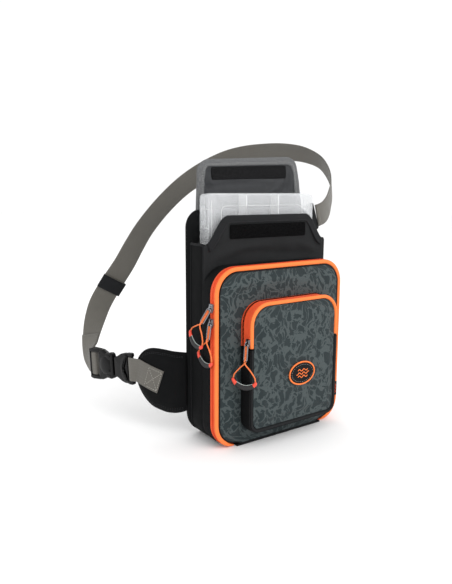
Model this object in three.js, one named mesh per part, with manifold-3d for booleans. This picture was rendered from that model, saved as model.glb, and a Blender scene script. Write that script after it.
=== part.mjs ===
// Fishing tackle sling bag, standing on its base with the flap folded open and a clear tackle box inside.
// Millimetres, +Z up. The origin is the centre of the base, on the floor.
// -Y is the front, +Y the wearer's side.

import * as THREE from 'three';
import { mergeVertices } from 'three/addons/utils/BufferGeometryUtils.js';
import Module from 'manifold-3d';

const wasm = await Module();
wasm.setup();

// Layers of the bag, front to back
const bagWidth = 245;
const pocketDepth = 36;
const mainDepth = 36;
const backPadThickness = 14;
const clothWall = 2.5;
const seamGap = 0.3;
const cornerRadius = 38;

// Main compartment
const bodyInset = 4;
const sideHeight = 298;
const tongueHeight = 338;
const tongueShoulderWidth = 226;
const tongueTopWidth = 152;
const edgeTapeWidth = 10.5;
const edgeTapeThickness = 1.2;
const stripLength = 148;
const stripHeight = 21;
const stripThickness = 1.6;
const stripMargin = 1.5;

// Padded back panel and the flap that folds open above it
const backPanelHeight = 348;
const backTopRadius = 27;
const padEdgeRound = 3;
const flapHeight = 81;
const flapRootWidth = 206;
const flapEndWidth = 194;
const flapCornerRadius = 20;
const flapThickness = 2.5;
const flapLean = 6;
const flapTapeWidth = 11;

// Front pocket
const pocketHeight = 268;
const zipBandWidth = 10;
const pipingWidth = 6.5;
const pipingDepth = 4;
const panelThickness = 2;
const pocketCrown = 2;
const crownEdge = 14;

// Small pocket on the front pocket
const smallWidth = 170;
const smallShift = 5;
const smallBottom = 26;
const smallTop = 218;
const smallDepth = 25;
const smallTopRadius = 32;
const smallBottomRadius = 16;
const smallPipingWidth = 5.5;
const smallCrown = 3;
const smallZipEnd = 152;
const badgeWidth = 52;
const badgeHeight = 37;
const badgeThickness = 1.6;
const badgeRimWidth = 2.6;
const badgeCentre = { x: 14, z: 104 };
const tagLength = 9;
const tagHeight = 23;
const tagThickness = 1.2;
const tagBottom = 50;

// Tackle box
const boxWidth = 205;
const boxHeight = 364.5;
const boxDepth = 23;
const boxLidDepth = 6.5;
const boxWall = 1.8;
const boxCorner = 7;
const lidPanelWidth = 158;
const lidPanelMargin = 18;
const lidPanelRecess = 0.8;
const longDividerSpacing = 63;
const shortDividerDrop = 73;
const dividerClearance = 0.3;
const latchWidth = 12;
const latchHeight = 34;
const latchThickness = 2;
const latchDrop = 10;

// Zip pulls
const sliderLength = 13;
const sliderWidth = 8.5;
const sliderThickness = 2.6;
const bridgeHeight = 4.2;
const wireThickness = 1.7;
const ringLength = 26;
const ringWidth = 9;
const pullCordThickness = 2;
const pullLength = 27;
const pullSpread = 17;
const gripThickness = 5;
const gripSag = 8;
const bridgeWidth = 1.6;
const pullClearance = 0.35;
const smallPullLead = 8;
const loopClearance = 0.8;

// Hip wing, buckle and webbing
const wingReachOut = 50;
const wingReachBack = 70;
const wingThickness = 9;
const wingLow = 39;
const wingHigh = 137;
const webbingWidth = 38;
const webbingThickness = 1.8;
const wingWebbingLow = 85;
const wingWebbingHigh = 98;
const buckleLength = 76;
const buckleWidth = 50;
const buckleThickness = 11;
const buckleYaw = 108.5;
const bucklePitch = -3.5;
const slotLength = 41;
const slotWidth = 6.5;
const barWidth = 4.5;
const barThickness = 4;
const buckleClearance = 0.4;
const buckleCorner = { male: 4, female: 5 };
const buckleWaist = { start: 3, narrow: 10, widen: 17, full: 22 };

// Shoulder strap
const strapRise = 195;
const strapSpread = 130;
const strapBulge = 80;
const strapTilt = 23.5;
const strapSeam = { out: 16.5, drop: 15, y: 34 };
const tabMargin = 4;
const tailLength = 60;
const keeperPlace = 0.77;
const keeperLength = 15;
const keeperWall = 1.3;
const keeperClearance = 0.35;

// Places worked out from the sizes above
const frontY = -(pocketDepth + mainDepth + backPadThickness) / 2;
const mainFrontY = frontY + pocketDepth;
const mainBackY = mainFrontY + mainDepth;
const backY = mainBackY + backPadThickness;
const panelMidY = (mainBackY + backY) / 2;
const bagHalf = bagWidth / 2;
const bodyHalf = bagWidth / 2 - bodyInset;
const bodyCorner = cornerRadius - bodyInset;
const pocketFaceY = frontY - pocketCrown;
const smallFrontY = pocketFaceY - smallDepth;
const smallFaceY = smallFrontY - smallCrown;

const finishes = {
  black_fabric: { color: 0x232527, roughness: 0.9, metalness: 0 },
  pad_fabric: { color: 0x1b1d1f, roughness: 0.95, metalness: 0 },
  edge_tape: { color: 0x2b2d2f, roughness: 0.85, metalness: 0 },
  flap_lining: { color: 0x4b4c4e, roughness: 0.7, metalness: 0 },
  gray_tape: { color: 0x767779, roughness: 0.85, metalness: 0 },
  hook_strip: { color: 0x131314, roughness: 1, metalness: 0 },
  orange_tape: { color: 0xf8763e, roughness: 0.75, metalness: 0 },
  camo_fabric: { color: 0x5b6766, roughness: 0.85, metalness: 0 },
  clear_plastic: { color: 0xe3e6e8, roughness: 0.15, metalness: 0 },
  white_plastic: { color: 0xf2f3f3, roughness: 0.35, metalness: 0 },
  webbing: { color: 0x6b6963, roughness: 0.8, metalness: 0 },
  black_plastic: { color: 0x2a2b2d, roughness: 0.4, metalness: 0 },
  slider_metal: { color: 0x8d9094, roughness: 0.3, metalness: 1 },
  pull_cord: { color: 0xff7b33, roughness: 0.6, metalness: 0 },
  grip_rubber: { color: 0x202123, roughness: 0.6, metalness: 0 },
};

const bag = new THREE.Group();

function addPiece(parent, name, geometry, finish) {
  const mesh = new THREE.Mesh(geometry, new THREE.MeshStandardMaterial(finishes[finish]));
  mesh.name = name;
  parent.add(mesh);
  return mesh;
}

// Solids

function toSolid(geometry) {
  const bare = geometry.clone();
  bare.deleteAttribute('normal');
  bare.deleteAttribute('uv');
  const merged = mergeVertices(bare, 1e-4);
  const vertProperties = new Float32Array(merged.attributes.position.array);
  const triVerts = new Uint32Array(merged.index.array);
  return new wasm.Manifold(new wasm.Mesh({ numProp: 3, vertProperties, triVerts }));
}

function toGeometry(solid) {
  const mesh = solid.getMesh();
  const geometry = new THREE.BufferGeometry();
  const stride = mesh.numProp;
  const count = mesh.vertProperties.length / stride;
  const positions = new Float32Array(count * 3);
  for (let i = 0; i < count; i += 1) {
    positions.set(mesh.vertProperties.subarray(i * stride, i * stride + 3), i * 3);
  }
  geometry.setAttribute('position', new THREE.BufferAttribute(positions, 3));
  geometry.setIndex(new THREE.BufferAttribute(new Uint32Array(mesh.triVerts), 1));
  return geometry;
}

function cut(geometry, ...tools) {
  return toGeometry(tools.reduce((solid, tool) => solid.subtract(toSolid(tool)), toSolid(geometry)));
}

function join(geometry, ...others) {
  return toGeometry(others.reduce((solid, other) => solid.add(toSolid(other)), toSolid(geometry)));
}

function keep(geometry, region) {
  return toGeometry(toSolid(geometry).intersect(toSolid(region)));
}

function block(x0, x1, y0, y1, z0, z1) {
  const geometry = new THREE.BoxGeometry(x1 - x0, y1 - y0, z1 - z0);
  return geometry.translate((x0 + x1) / 2, (y0 + y1) / 2, (z0 + z1) / 2);
}

// A shape drawn in X and Z, given a thickness from y0 to y1
function panel(shape, y0, y1, arcSteps = 6) {
  const geometry = new THREE.ExtrudeGeometry(
    shape, { depth: y1 - y0, bevelEnabled: false, curveSegments: arcSteps },
  );
  return geometry.rotateX(Math.PI / 2).translate(0, y1, 0);
}

// The same with its edges rounded over by `edge` sideways and `fall` along Y, on both faces
function roundedPanel(shape, y0, y1, edge, fall, arcSteps = 6, edgeSteps = 2) {
  const geometry = new THREE.ExtrudeGeometry(shape, {
    depth: y1 - y0 - 2 * fall,
    bevelThickness: fall,
    bevelSize: edge,
    bevelOffset: -edge,
    bevelSegments: edgeSteps,
    curveSegments: arcSteps,
  });
  return geometry.rotateX(Math.PI / 2).translate(0, y1 - fall, 0);
}

// Closed rings of equal length joined in order; the ends are closed unless the rings form a loop
function loft(rings, isLoop = false) {
  const size = rings[0].length;
  const positions = [];
  const faces = [];
  rings.forEach((ring) => ring.forEach((p) => positions.push(p.x, p.y, p.z)));
  const spans = isLoop ? rings.length : rings.length - 1;
  for (let i = 0; i < spans; i += 1) {
    const here = i * size;
    const next = ((i + 1) % rings.length) * size;
    for (let j = 0; j < size; j += 1) {
      const k = (j + 1) % size;
      faces.push(here + j, here + k, next + k, here + j, next + k, next + j);
    }
  }
  if (!isLoop) {
    const last = (rings.length - 1) * size;
    for (let j = 1; j < size - 1; j += 1) {
      faces.push(0, j + 1, j, last, last + j, last + j + 1);
    }
  }
  if (signedVolume(positions, faces) < 0) {
    for (let i = 0; i < faces.length; i += 3) {
      [faces[i + 1], faces[i + 2]] = [faces[i + 2], faces[i + 1]];
    }
  }
  const geometry = new THREE.BufferGeometry();
  geometry.setAttribute('position', new THREE.Float32BufferAttribute(positions, 3));
  geometry.setIndex(faces);
  return geometry;
}

function signedVolume(positions, faces) {
  const corner = (index) => new THREE.Vector3().fromArray(positions, index * 3);
  let volume = 0;
  for (let i = 0; i < faces.length; i += 3) {
    volume += corner(faces[i]).dot(corner(faces[i + 1]).cross(corner(faces[i + 2])));
  }
  return volume;
}

// A flat band: stations hold a centre and a direction across the band, which is squared to the band's run
function band(stations, width, thickness) {
  const rings = squaredStations(stations).map(({ centre, across, normal }) => {
    const corner = (a, n) => centre.clone().addScaledVector(across, a).addScaledVector(normal, n);
    const half = width / 2;
    const deep = thickness / 2;
    return [corner(-half, -deep), corner(half, -deep), corner(half, deep), corner(-half, deep)];
  });
  return loft(rings);
}

function squaredStations(stations) {
  const last = stations.length - 1;
  return stations.map(({ centre, across }, i) => {
    const previous = stations[Math.max(i - 1, 0)].centre;
    const tangent = stations[Math.min(i + 1, last)].centre.clone().sub(previous).normalize();
    const square = across.clone().addScaledVector(tangent, -across.dot(tangent)).normalize();
    return { centre, across: square, normal: tangent.clone().cross(square) };
  });
}

// A round rod or cord along points; radii may change from point to point
function rod(points, radius, sides, isLoop = false) {
  const count = points.length;
  const rings = points.map((point, i) => {
    const before = points[isLoop ? (i + count - 1) % count : Math.max(i - 1, 0)];
    const after = points[isLoop ? (i + 1) % count : Math.min(i + 1, count - 1)];
    const along = after.clone().sub(before).normalize();
    const side = new THREE.Vector3(1, 0, 0);
    side.addScaledVector(along, -side.dot(along)).normalize();
    const other = along.clone().cross(side);
    const r = typeof radius === 'number' ? radius : radius(i / (count - 1));
    return Array.from({ length: sides }, (_, k) => {
      const angle = (2 * Math.PI * k) / sides;
      return point.clone()
        .addScaledVector(side, r * Math.cos(angle))
        .addScaledVector(other, r * Math.sin(angle));
    });
  });
  return loft(rings, isLoop);
}

// Outlines in X and Z

function roundedOutline(x0, x1, z0, z1, lowRadius, highRadius) {
  const shape = new THREE.Shape();
  shape.moveTo(x0 + lowRadius, z0);
  shape.lineTo(x1 - lowRadius, z0);
  shape.absarc(x1 - lowRadius, z0 + lowRadius, lowRadius, -Math.PI / 2, 0);
  shape.lineTo(x1, z1 - highRadius);
  shape.absarc(x1 - highRadius, z1 - highRadius, highRadius, 0, Math.PI / 2);
  shape.lineTo(x0 + highRadius, z1);
  shape.absarc(x0 + highRadius, z1 - highRadius, highRadius, Math.PI / 2, Math.PI);
  shape.lineTo(x0, z0 + lowRadius);
  shape.absarc(x0 + lowRadius, z0 + lowRadius, lowRadius, Math.PI, 1.5 * Math.PI);
  return shape;
}

function pocketOutline(inset) {
  const radius = cornerRadius - inset;
  return roundedOutline(-bagHalf + inset, bagHalf - inset, inset, pocketHeight - inset, radius, radius);
}

function smallOutline(inset) {
  const x0 = smallShift - smallWidth / 2 + inset;
  const x1 = smallShift + smallWidth / 2 - inset;
  const low = smallBottomRadius - inset;
  const high = smallTopRadius - inset;
  return roundedOutline(x0, x1, smallBottom + inset, smallTop - inset, low, high);
}

// A ring between the outline and the same outline set in by `width`
function frameRing(outline, width, y0, y1) {
  return cut(panel(outline(0), y0, y1), panel(outline(width), y0 - 1, y1 + 1));
}

// The tongue's upper edge from its left shoulder to its right one, moved out by `offset`
function tongueEdge(offset) {
  const shoulder = tongueShoulderWidth / 2;
  const top = tongueTopWidth / 2;
  const rise = tongueHeight - sideHeight;
  const left = new THREE.CubicBezierCurve(
    new THREE.Vector2(-shoulder, sideHeight),
    new THREE.Vector2(-shoulder + (shoulder - top) * 0.28, sideHeight + rise * 0.05),
    new THREE.Vector2(-top - (shoulder - top) * 0.42, tongueHeight - rise * 0.05),
    new THREE.Vector2(-top, tongueHeight),
  );
  const steps = 8;
  const points = [];
  for (let i = 0; i <= steps; i += 1) {
    const point = left.getPoint(i / steps);
    const along = left.getTangent(i / steps);
    points.push(new THREE.Vector2(point.x - along.y * offset, point.y + along.x * offset));
  }
  const right = points.map((p) => new THREE.Vector2(-p.x, p.y)).reverse();
  return points.concat(right);
}

// Main compartment

function makeBackPanel() {
  const outline = roundedOutline(-bagHalf, bagHalf, 0, backPanelHeight, cornerRadius, backTopRadius);
  const geometry = roundedPanel(outline, mainBackY + seamGap, backY, padEdgeRound, padEdgeRound);
  addPiece(bag, 'back_panel', geometry, 'pad_fabric');
}

function makeMainGusset() {
  const y0 = mainFrontY + clothWall + seamGap;
  const outer = roundedOutline(-bodyHalf, bodyHalf, 0, sideHeight, bodyCorner, 1);
  const innerRadius = bodyCorner - clothWall;
  const inner = roundedOutline(
    -bodyHalf + clothWall, bodyHalf - clothWall, clothWall, sideHeight + 2 * innerRadius,
    innerRadius, innerRadius,
  );
  const gusset = cut(panel(outer, y0, mainBackY), panel(inner, y0 - 1, mainBackY + 1));
  addPiece(bag, 'main_gusset', gusset, 'black_fabric');
}

function makeFrontWall() {
  const shape = new THREE.Shape();
  shape.moveTo(-bodyHalf, sideHeight);
  shape.lineTo(-bodyHalf, bodyCorner);
  shape.absarc(-bodyHalf + bodyCorner, bodyCorner, bodyCorner, Math.PI, 1.5 * Math.PI);
  shape.lineTo(bodyHalf - bodyCorner, 0);
  shape.absarc(bodyHalf - bodyCorner, bodyCorner, bodyCorner, -Math.PI / 2, 0);
  shape.lineTo(bodyHalf, sideHeight);
  tongueEdge(0).reverse().forEach((p) => shape.lineTo(p.x, p.y));
  addPiece(bag, 'front_wall', panel(shape, mainFrontY, mainFrontY + clothWall), 'black_fabric');
}

function makeTongueTape() {
  const reach = seamGap + edgeTapeThickness;
  const outline = new THREE.Shape(tongueEdge(reach).concat(tongueEdge(-edgeTapeWidth).reverse()));
  const tape = panel(outline, mainFrontY - reach, mainFrontY + clothWall + reach);
  const foot = sideHeight - 3 * edgeTapeWidth;
  const wallSpace = new THREE.Shape(
    tongueEdge(seamGap).concat([new THREE.Vector2(bodyHalf, foot), new THREE.Vector2(-bodyHalf, foot)]),
  );
  const slot = panel(wallSpace, mainFrontY - seamGap, mainFrontY + clothWall + seamGap);
  addPiece(bag, 'tongue_tape', cut(tape, slot), 'edge_tape');

  const stripTop = tongueHeight - edgeTapeWidth - stripMargin;
  const y1 = mainFrontY - seamGap;
  const strip = block(
    -stripLength / 2, stripLength / 2, y1 - stripThickness, y1, stripTop - stripHeight, stripTop,
  );
  addPiece(bag, 'hook_strip', strip, 'hook_strip');
}

// The flap in its own frame: root edge along X at z = 0, its inner face towards -Y
function flapOutline(offset, rootDrop = 0) {
  const root = flapRootWidth / 2 + offset;
  const end = flapEndWidth / 2 + offset;
  const top = flapHeight + offset;
  const radius = flapCornerRadius + offset;
  const shape = new THREE.Shape();
  shape.moveTo(-root, -rootDrop);
  shape.lineTo(root, -rootDrop);
  shape.lineTo(end, top - radius);
  shape.absarc(end - radius, top - radius, radius, 0, Math.PI / 2);
  shape.lineTo(-end + radius, top);
  shape.absarc(-end + radius, top - radius, radius, Math.PI / 2, Math.PI);
  return shape;
}

function makeFlap() {
  const lean = THREE.MathUtils.degToRad(flapLean);
  const flap = new THREE.Group();
  flap.position.set(0, panelMidY, backPanelHeight + seamGap + flapThickness * Math.sin(lean));
  flap.rotation.x = -lean;
  bag.add(flap);
  const half = flapThickness / 2;
  addPiece(flap, 'lid_flap', panel(flapOutline(0), -half, half), 'flap_lining');

  const reach = seamGap + edgeTapeThickness;
  const tape = cut(
    panel(flapOutline(reach), -half - reach, half + reach),
    panel(flapOutline(-flapTapeWidth, 1), -half - 2 * reach, half + 2 * reach),
    panel(flapOutline(seamGap, 1), -half - seamGap, half + seamGap),
  );
  addPiece(flap, 'flap_tape', tape, 'gray_tape');

  const stripTop = flapHeight - flapTapeWidth - stripMargin;
  const y1 = -half - seamGap;
  const strip = block(
    -stripLength / 2, stripLength / 2, y1 - stripThickness, y1, stripTop - stripHeight, stripTop,
  );
  addPiece(flap, 'loop_strip', strip, 'hook_strip');
}

// Tackle box, in a group of its own

// Height at which the box's rounded corners meet the rounded corners of the main gusset
function boxRestHeight() {
  const reach = Math.max(0, boxWidth / 2 - boxCorner - (bodyHalf - bodyCorner));
  const clear = bodyCorner - clothWall - 2 * seamGap - boxCorner;
  const drop = Math.sqrt(Math.max(0, clear * clear - reach * reach));
  return Math.max(clothWall + seamGap, bodyCorner - drop - boxCorner);
}

function makeTackleBox() {
  const back = mainBackY;
  const front = back - boxDepth;
  const bottom = boxRestHeight();
  const top = bottom + boxHeight;
  const half = boxWidth / 2;
  const seam = front + boxLidDepth;
  const outline = (inset) => roundedOutline(
    -half + inset, half - inset, bottom + inset, top - inset, boxCorner - inset, boxCorner - inset,
  );
  const hollow = (y0, y1) => panel(outline(boxWall), y0, y1, 4);

  const tray = cut(panel(outline(0), seam + seamGap, back, 4), hollow(seam - 1, back - boxWall));
  addPiece(bag, 'box_tray', tray, 'clear_plastic');

  const panelOutline = roundedOutline(
    -lidPanelWidth / 2, lidPanelWidth / 2, bottom + lidPanelMargin, top - lidPanelMargin,
    boxCorner, boxCorner,
  );
  const lid = cut(
    panel(outline(0), front, seam, 4),
    hollow(front + boxWall, seam + 1),
    panel(panelOutline, front - 1, front + lidPanelRecess, 4),
  );
  addPiece(bag, 'box_lid', lid, 'clear_plastic');

  const dividerY0 = front + boxWall + dividerClearance;
  const dividerY1 = back - boxWall - dividerClearance;
  const innerHalf = half - boxWall - dividerClearance;
  const z0 = bottom + boxWall + dividerClearance;
  const z1 = top - boxWall - dividerClearance;
  const halfWall = boxWall / 2;
  const columns = [-longDividerSpacing / 2, longDividerSpacing / 2];
  columns.forEach((x, i) => {
    const name = `box_long_divider_${i + 1}`;
    addPiece(bag, name, block(x - halfWall, x + halfWall, dividerY0, dividerY1, z0, z1), 'white_plastic');
  });
  const z = top - shortDividerDrop;
  const bays = [
    { from: -innerHalf, to: columns[0] - halfWall - dividerClearance },
    { from: columns[0] + halfWall + dividerClearance, to: columns[1] - halfWall - dividerClearance },
    { from: columns[1] + halfWall + dividerClearance, to: innerHalf },
  ];
  bays.forEach(({ from, to }, i) => {
    const name = `box_short_divider_${i + 1}`;
    addPiece(bag, name, block(from, to, dividerY0, dividerY1, z - halfWall, z + halfWall), 'white_plastic');
  });

  const sides = [{ name: 'left', sign: -1 }, { name: 'right', sign: 1 }];
  sides.forEach(({ name, sign }) => {
    const latchTop = top - boxCorner - latchDrop;
    const centreY = (front + back) / 2;
    const plate = roundedOutline(-latchWidth / 2, latchWidth / 2, latchTop - latchHeight, latchTop, 3, 3);
    const geometry = panel(plate, -latchThickness / 2, latchThickness / 2, 3);
    geometry.rotateZ(Math.PI / 2);
    geometry.translate(sign * (half + seamGap + latchThickness / 2), centreY, 0);
    addPiece(bag, `box_latch_${name}`, geometry, 'clear_plastic');
  });
}

// Front pocket: ring of cloth, zip band, piping and crowned front panel

function makeFrontPocket() {
  const pipingBackY = frontY + pipingDepth;
  const zipBackY = pipingBackY + seamGap + zipBandWidth;
  const zipEndX = bagHalf - cornerRadius;
  const zipEndZ = cornerRadius / 2;
  const ring = (width, y0, y1) => frameRing(pocketOutline, width, y0, y1);
  const bottomRun = (spare, y0, y1) => block(-zipEndX - spare, zipEndX + spare, y0, y1, -1, zipEndZ);

  const rear = ring(clothWall, zipBackY, mainFrontY - seamGap);
  const lip = keep(ring(clothWall, frontY, zipBackY + 1), bottomRun(0, frontY, zipBackY + 1));
  addPiece(bag, 'pocket_gusset', join(rear, lip), 'black_fabric');

  const clear = bottomRun(seamGap, frontY - 1, mainFrontY);
  const zipBand = cut(ring(clothWall, pipingBackY + seamGap, zipBackY - seamGap), clear);
  addPiece(bag, 'pocket_zip_tape', zipBand, 'orange_tape');

  const piping = cut(ring(pipingWidth, frontY, pipingBackY), clear);
  addPiece(bag, 'pocket_piping', piping, 'orange_tape');

  const inset = pipingWidth + seamGap;
  const front = roundedPanel(
    pocketOutline(inset), pocketFaceY, pocketFaceY + 2 * pocketCrown + panelThickness,
    crownEdge, pocketCrown);
  const inside = roundedPanel(pocketOutline(inset + panelThickness), pocketFaceY + panelThickness,
    pocketFaceY + 3 * pocketCrown + 2 * panelThickness, crownEdge, pocketCrown, 5, 1);
  addPiece(bag, 'pocket_front', cut(front, inside), 'camo_fabric');
}

function makeSmallPocket() {
  const backFace = pocketFaceY - seamGap;
  const pipingBackY = smallFrontY + pipingDepth;
  const ring = (width, y0, y1) => frameRing(smallOutline, width, y0, y1);
  const below = (z, y0, y1) => block(-bagHalf, bagHalf, y0 - 1, y1 + 1, smallBottom - 1, z);
  const lowRing = keep(ring(clothWall, smallFrontY, backFace), below(smallZipEnd, smallFrontY, backFace));
  addPiece(bag, 'small_pocket_gusset', lowRing, 'black_fabric');

  const clear = below(smallZipEnd + seamGap, smallFrontY, backFace);
  const zipTape = cut(ring(clothWall, pipingBackY + seamGap, backFace), clear);
  addPiece(bag, 'small_pocket_zip_tape', zipTape, 'orange_tape');
  const piping = cut(ring(smallPipingWidth, smallFrontY, pipingBackY), clear);
  addPiece(bag, 'small_pocket_piping', piping, 'orange_tape');

  const inset = smallPipingWidth + seamGap;
  const front = roundedPanel(smallOutline(inset), smallFaceY, smallFaceY + 2 * smallCrown + panelThickness,
    smallBottomRadius - inset - 1, smallCrown);
  const inside = roundedPanel(smallOutline(inset + panelThickness), smallFaceY + panelThickness,
    smallFaceY + 3 * smallCrown + 2 * panelThickness,
    smallBottomRadius - inset - panelThickness - 1, smallCrown, 5, 1);
  addPiece(bag, 'small_pocket_front', cut(front, inside), 'camo_fabric');

  const y1 = smallFaceY - seamGap;
  const oval = (inset2) => {
    const shape = new THREE.Shape();
    shape.absellipse(
      badgeCentre.x, badgeCentre.z, badgeWidth / 2 - inset2, badgeHeight / 2 - inset2, 0, 2 * Math.PI,
    );
    return shape;
  };
  const rim = cut(panel(oval(0), y1 - badgeThickness, y1, 16),
    panel(oval(badgeRimWidth), y1 - badgeThickness - 1, y1 + 1, 16));
  addPiece(bag, 'badge_rim', rim, 'orange_tape');
  addPiece(bag, 'badge', panel(oval(badgeRimWidth + seamGap), y1 - badgeThickness, y1, 16), 'hook_strip');

  const tagX = smallShift + smallWidth / 2 + seamGap;
  const tagY = smallFrontY + pipingDepth;
  const tag = block(tagX, tagX + tagLength, tagY, tagY + tagThickness, tagBottom, tagBottom + tagHeight);
  addPiece(bag, 'side_tag', tag, 'hook_strip');
}

// Zip pulls: slider, wire ring, cord loop and moulded grip, hanging against a side that faces -X
function makeZipPull({ number, x, y, z, ringSwing, loopSwing, standoff, turn }) {
  const at = (out, back, up) => new THREE.Vector3(x - out, y + back, z + up);
  const sliderOutline = new THREE.Shape();
  sliderOutline.moveTo(-sliderWidth / 2, sliderLength / 2);
  sliderOutline.lineTo(-sliderWidth / 2, -sliderLength / 6);
  sliderOutline.lineTo(-sliderWidth / 4, -sliderLength / 2);
  sliderOutline.lineTo(sliderWidth / 4, -sliderLength / 2);
  sliderOutline.lineTo(sliderWidth / 2, -sliderLength / 6);
  sliderOutline.lineTo(sliderWidth / 2, sliderLength / 2);
  const body = roundedPanel(sliderOutline, 0, sliderThickness, 0.6, 0.6).rotateZ(-Math.PI / 2);
  body.translate(-sliderThickness - seamGap, 0, 0);

  const archHalf = sliderLength * 0.3;
  const archWall = 1.2;
  const archSink = 0.4;
  const halfBridge = bridgeWidth / 2;
  const outerArch = panel(new THREE.Shape().absarc(0, 0, archHalf, 0, Math.PI), -halfBridge, halfBridge, 8);
  const innerShape = new THREE.Shape().absarc(0, 0, archHalf - archWall, 0, Math.PI);
  const innerArch = panel(innerShape, -bridgeWidth, bridgeWidth, 8);
  const bridge = cut(outerArch, innerArch);
  bridge.scale(1, 1, bridgeHeight / archHalf);
  bridge.rotateY(-Math.PI / 2);
  bridge.translate(-sliderThickness - seamGap + archSink, 0, 0);
  const slider = join(body, bridge);
  slider.translate(x, y, z);
  addPiece(bag, `zip_slider_${number}`, slider, 'slider_metal');

  // The ring hangs through the bridge: a long loop of wire with round ends
  const wire = wireThickness / 2;
  const crown = sliderThickness + seamGap + pullClearance + wire;
  const ringHalf = ringWidth / 2 - wire;
  const straight = ringLength - ringWidth;
  const swing = THREE.MathUtils.degToRad(ringSwing);
  const turnSteps = 5;
  const ringPoints = [];
  for (let end = 0; end < 2; end += 1) {
    for (let i = 0; i <= turnSteps; i += 1) {
      const angle = Math.PI * (end + i / turnSteps);
      const across = ringHalf * Math.cos(angle);
      const down = ringHalf + end * straight - ringHalf * Math.sin(angle);
      const out = crown + (standoff * down) / (straight + 2 * ringHalf);
      const back = across * Math.cos(swing) + down * Math.sin(swing);
      const up = across * Math.sin(swing) - down * Math.cos(swing);
      ringPoints.push(at(out, back, up));
    }
  }
  addPiece(bag, `pull_ring_${number}`, rod(ringPoints, wire, 8, true), 'slider_metal');

  // The cord runs from one end of the grip, round the ring's lower end, to the other end of the grip
  const ringEnd = straight + 2 * ringHalf;
  const hang = THREE.MathUtils.degToRad(loopSwing);
  const pass = wire + pullCordThickness / 2 + loopClearance;
  const spin = THREE.MathUtils.degToRad(turn);
  const place = (across, down, out) => {
    const back = across * Math.cos(spin);
    return at(
      crown + standoff + out + across * Math.sin(spin),
      ringEnd * Math.sin(swing) + back * Math.cos(hang) + down * Math.sin(hang),
      -ringEnd * Math.cos(swing) - down * Math.cos(hang) + back * Math.sin(hang),
    );
  };
  const cordRows = [
    { across: -1, down: 1, out: 0 },
    { across: -0.95, down: 0.82, out: 0.1 },
    { across: -0.52, down: 0.42, out: 0.5 },
    { across: -0.2, down: 0.16, out: 1.1 },
    { across: -0.07, down: 0, out: 1.1 },
    { across: 0, down: -pass / pullLength, out: 0 },
    { across: 0.07, down: 0, out: -1.1 },
    { across: 0.2, down: 0.16, out: -1.1 },
    { across: 0.52, down: 0.42, out: -0.5 },
    { across: 0.95, down: 0.82, out: -0.1 },
    { across: 1, down: 1, out: 0 },
  ];
  const cordCurve = new THREE.CatmullRomCurve3(
    cordRows.map((row) => place(row.across * pullSpread, row.down * pullLength, row.out * pass)),
  );
  addPiece(bag, `pull_cord_${number}`, rod(cordCurve.getPoints(22), pullCordThickness / 2, 8), 'pull_cord');

  const gripTop = pullLength + loopClearance;
  const gripCurve = new THREE.CatmullRomCurve3([
    place(-pullSpread * 1.01, gripTop, 0),
    place(-pullSpread * 1.02, gripTop + gripSag * 0.25, 0),
    place(-pullSpread * 0.65, gripTop + gripSag * 0.85, 0),
    place(0, gripTop + gripSag * 1.2, 0),
    place(pullSpread * 0.65, gripTop + gripSag * 0.85, 0),
    place(pullSpread * 1.02, gripTop + gripSag * 0.25, 0),
    place(pullSpread * 1.01, gripTop, 0),
  ]);
  const gripRadius = (share) => (gripThickness / 2) * (0.55 + 0.45 * Math.sin(Math.PI * share));
  addPiece(bag, `pull_grip_${number}`, rod(gripCurve.getPoints(12), gripRadius, 8), 'grip_rubber');
}

function makeZipPulls() {
  const zipMidY = frontY + pipingDepth + seamGap + zipBandWidth / 2;
  const smallSide = smallShift - smallWidth / 2;
  const smallZipMidY = (smallFrontY + pipingDepth + pocketFaceY) / 2;
  const bagZip = { x: -bagHalf, y: zipMidY };
  const smallZip = { x: smallSide, y: smallZipMidY - smallPullLead };
  const pulls = [
    { number: 1, ...bagZip, z: pocketHeight * 0.79, ringSwing: 26, loopSwing: 29, standoff: 7, turn: 0 },
    { number: 2, ...bagZip, z: pocketHeight * 0.71, ringSwing: 8, loopSwing: 15, standoff: 1, turn: 0 },
    { number: 3, ...smallZip, z: smallZipEnd + 9, ringSwing: -10, loopSwing: 4, standoff: 5, turn: 30 },
  ];
  pulls.forEach(makeZipPull);
}

// Hip wing: a padded plate standing on its edge, curving back from the side of the back panel

function wingPlan() {
  const root = new THREE.Vector2(-bagHalf - seamGap, panelMidY);
  return new THREE.QuadraticBezierCurve(
    root,
    new THREE.Vector2(root.x - wingReachOut * 0.74, root.y + wingReachBack * 0.29),
    new THREE.Vector2(root.x - wingReachOut, root.y + wingReachBack),
  );
}

// Point on the wing's middle surface and its outward direction, away from the wearer
function wingFrame(share) {
  const plan = wingPlan();
  const point = plan.getPoint(share);
  const along = plan.getTangent(share);
  return {
    point: new THREE.Vector3(point.x, point.y, 0),
    along: new THREE.Vector3(along.x, along.y, 0),
    out: new THREE.Vector3(-along.y, along.x, 0),
  };
}

const wingRows = [
  { share: 0, low: 0, high: 0.95, thick: 0.75 },
  { share: 0.12, low: -0.03, high: 0.96, thick: 0.95 },
  { share: 0.25, low: -0.04, high: 0.97, thick: 1 },
  { share: 0.38, low: -0.03, high: 0.99, thick: 1 },
  { share: 0.5, low: 0, high: 1, thick: 1 },
  { share: 0.63, low: 0.03, high: 1, thick: 1 },
  { share: 0.75, low: 0.1, high: 0.97, thick: 0.95 },
  { share: 0.86, low: 0.2, high: 0.9, thick: 0.85 },
  { share: 0.94, low: 0.32, high: 0.8, thick: 0.7 },
  { share: 0.98, low: 0.42, high: 0.7, thick: 0.5 },
];

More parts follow.
